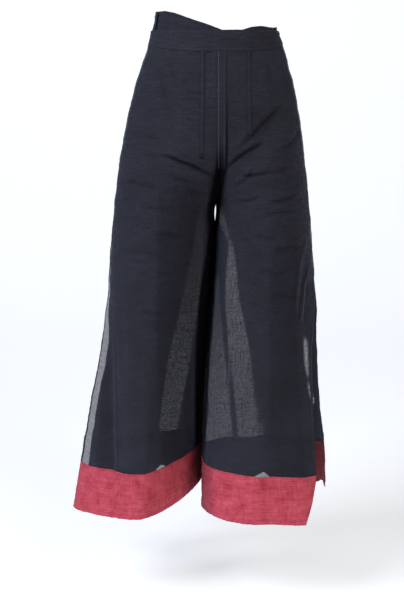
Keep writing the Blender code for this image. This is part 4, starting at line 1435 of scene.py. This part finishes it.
# The lower end of the placket dips into the shade at the crotch, between these heights.
STRIP_SHADE_FROM = -0.205
STRIP_SHADE_TO = -0.254
STRIP_SHADED = 0.30
STRIP_PANEL_COLUMNS = 60
FrontStrip = namedtuple("FrontStrip", "name node x_top x_bottom z_bottom width")
FRONT_STRIPS = (
    FrontStrip("centre_front_voile_placket", "centre_front_placket", 0.0065, 0.0065, -0.257, 0.016),
    FrontStrip("right_front_pressed_tuck", "right_front_tuck", -0.0290, -0.0310, -0.236, 0.007),
    FrontStrip("left_front_pressed_tuck", "left_front_tuck", 0.0560, 0.0580, -0.191, 0.007),
)


def strip_points(strip):
    """The grid of a strip on the two front panels."""
    near = STRIP_PANEL_COLUMNS
    across = np.linspace(-0.5, 0.5, STRIP_COLUMNS + 1) * strip.width
    grid = []
    for right, left in zip(panels["right", "front"], panels["left", "front"]):
        row = np.concatenate([right[near:0:-1], left[: near + 1]])
        z_here = row[near, 2]
        if z_here < strip.z_bottom:
            break
        t = (z_here - WAIST_SEAM_Z) / (strip.z_bottom - WAIST_SEAM_Z)
        xs = mix(strip.x_top, strip.x_bottom, t) + across
        grid.append(np.stack([np.interp(xs, row[:, 0], row[:, k]) for k in range(3)], axis=-1))
    points = np.array(grid)
    out = normals_of(points)
    out *= -np.sign(out[..., 1].mean())
    return points + out * (STRIP_LIFT + VOILE_MIDDLE + STRIP_THICK), out


strips, strip_grids = {}, {}
for strip in FRONT_STRIPS:
    points, out = strip_grids[strip.node] = strip_points(strip)
    piece = doubled(strip.name, points, out, STRIP_THICK, pressed_voile)
    heights = np.array([vertex.co.z for vertex in piece.data.vertices])
    lower_end = smooth(STRIP_SHADE_FROM, STRIP_SHADE_TO, heights)
    paint(piece, "cover", np.full_like(heights, DOUBLED_COVER))
    paint(piece, "lit", mix(1.0, STRIP_SHADED, lower_end))
    strips[strip.node] = dress(piece, strip.node)
    print(strip.name, "rows:", len(points))

# %% [markdown]
# ## Topstitching
#
# Every hem is held by a row of machine stitches, three millimetres long with a short gap. Each stitch is
# a small rounded bar of thread that dips into the cloth at both ends. A thousand separate objects would
# be slow, so one function writes all the stitches of a colour into one mesh.

# %% Sew the topstitching
STITCH = 0.0026
STITCH_GAP = 0.0008
STITCH_RADIUS = 0.00032
STITCH_SIDES = 6
STITCH_RINGS = ((0.0, 0.25), (0.22, 0.95), (0.78, 0.95), (1.0, 0.25))


def seam_of(points, normals, lift=0.0):
    """Stitch places along a line of points: the two ends of each stitch and the way out."""
    steps = np.linalg.norm(np.diff(points, axis=0), axis=-1)
    at = np.concatenate([[0.0], np.cumsum(steps)])
    starts = np.arange(STITCH_GAP, at[-1] - STITCH, STITCH + STITCH_GAP)
    lifted = points + normals * lift

    def read(where, values):
        return np.stack([np.interp(where, at, values[:, k]) for k in range(3)], axis=-1)

    return list(zip(read(starts, lifted), read(starts + STITCH, lifted), read(starts, normals)))


def sew(name, stitches, material):
    """One mesh of all the stitches."""
    points, faces = [], []
    for start, end, out in stitches:
        along = end - start
        side = np.cross(along, out)
        side /= np.linalg.norm(side)
        first = len(points)
        for part, share in STITCH_RINGS:
            bow = 4.0 * part * (1.0 - part)
            centre = start + along * part + out * STITCH_RADIUS * (0.6 * bow - 0.3)
            for k in range(STITCH_SIDES):
                a = 2 * math.pi * k / STITCH_SIDES
                points.append(centre + (side * math.cos(a) + out * math.sin(a)) * STITCH_RADIUS * share)
        for ring in range(len(STITCH_RINGS) - 1):
            for k in range(STITCH_SIDES):
                a = first + ring * STITCH_SIDES + k
                b = first + ring * STITCH_SIDES + (k + 1) % STITCH_SIDES
                faces.append((a, b, b + STITCH_SIDES, a + STITCH_SIDES))
        faces.append(tuple(first + k for k in range(STITCH_SIDES))[::-1])
        last = first + (len(STITCH_RINGS) - 1) * STITCH_SIDES
        faces.append(tuple(last + k for k in range(STITCH_SIDES)))
    piece = make_piece(name, points, faces, material)
    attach(piece, BODY)
    print(name, "stitches:", len(stitches))
    return piece


def row_at(points, normals, share):
    """A line across a grid at a share of its depth."""
    i = int(round(share * (len(points) - 1)))
    return points[i], normals[i]


def column_at(points, normals, share):
    j = int(round(share * (points.shape[1] - 1)))
    return points[:, j], normals[:, j]


SIDE_HEM_STITCHED_AT = 0.84 * SIDE_HEM
BAND_SIDE_STITCHED_AT = 0.006
BAND_STITCHED_AT = (0.035, 0.93)
WAISTBAND_STITCHED_AT = (0.09, 0.91)

navy_stitches, crimson_stitches = [], []
for side, face in LEG_PANELS:
    points = panels[side, face]
    line, out = along_rows(points, normals_of(points), np.array([SIDE_HEM_STITCHED_AT]))
    navy_stitches += seam_of(line[:, 0], out[:, 0], SIDE_HEM_THICK / 2)
    grid, normals = band_grids[side, face]
    for share in BAND_STITCHED_AT:
        crimson_stitches += seam_of(*row_at(grid, normals, share))
    line, out = along_rows(grid, normals, np.array([BAND_SIDE_STITCHED_AT]))
    crimson_stitches += seam_of(line[:, 0], out[:, 0])
for grid, normals in waist_grids.values():
    for share in WAISTBAND_STITCHED_AT:
        navy_stitches += seam_of(*row_at(grid, normals, share))
placket = strip_grids["centre_front_placket"]
worn_stitches = seam_of(*column_at(*placket, 0.12))
navy_stitches += seam_of(*column_at(*placket, 0.88))
for node in ("right_front_tuck", "left_front_tuck"):
    navy_stitches += seam_of(*column_at(*strip_grids[node], 0.5))
navy_sewing = sew("navy_topstitching", navy_stitches, navy_thread)
crimson_sewing = sew("crimson_topstitching", crimson_stitches, crimson_thread)
worn_sewing = sew("centre_front_topstitching", worn_stitches, worn_thread)
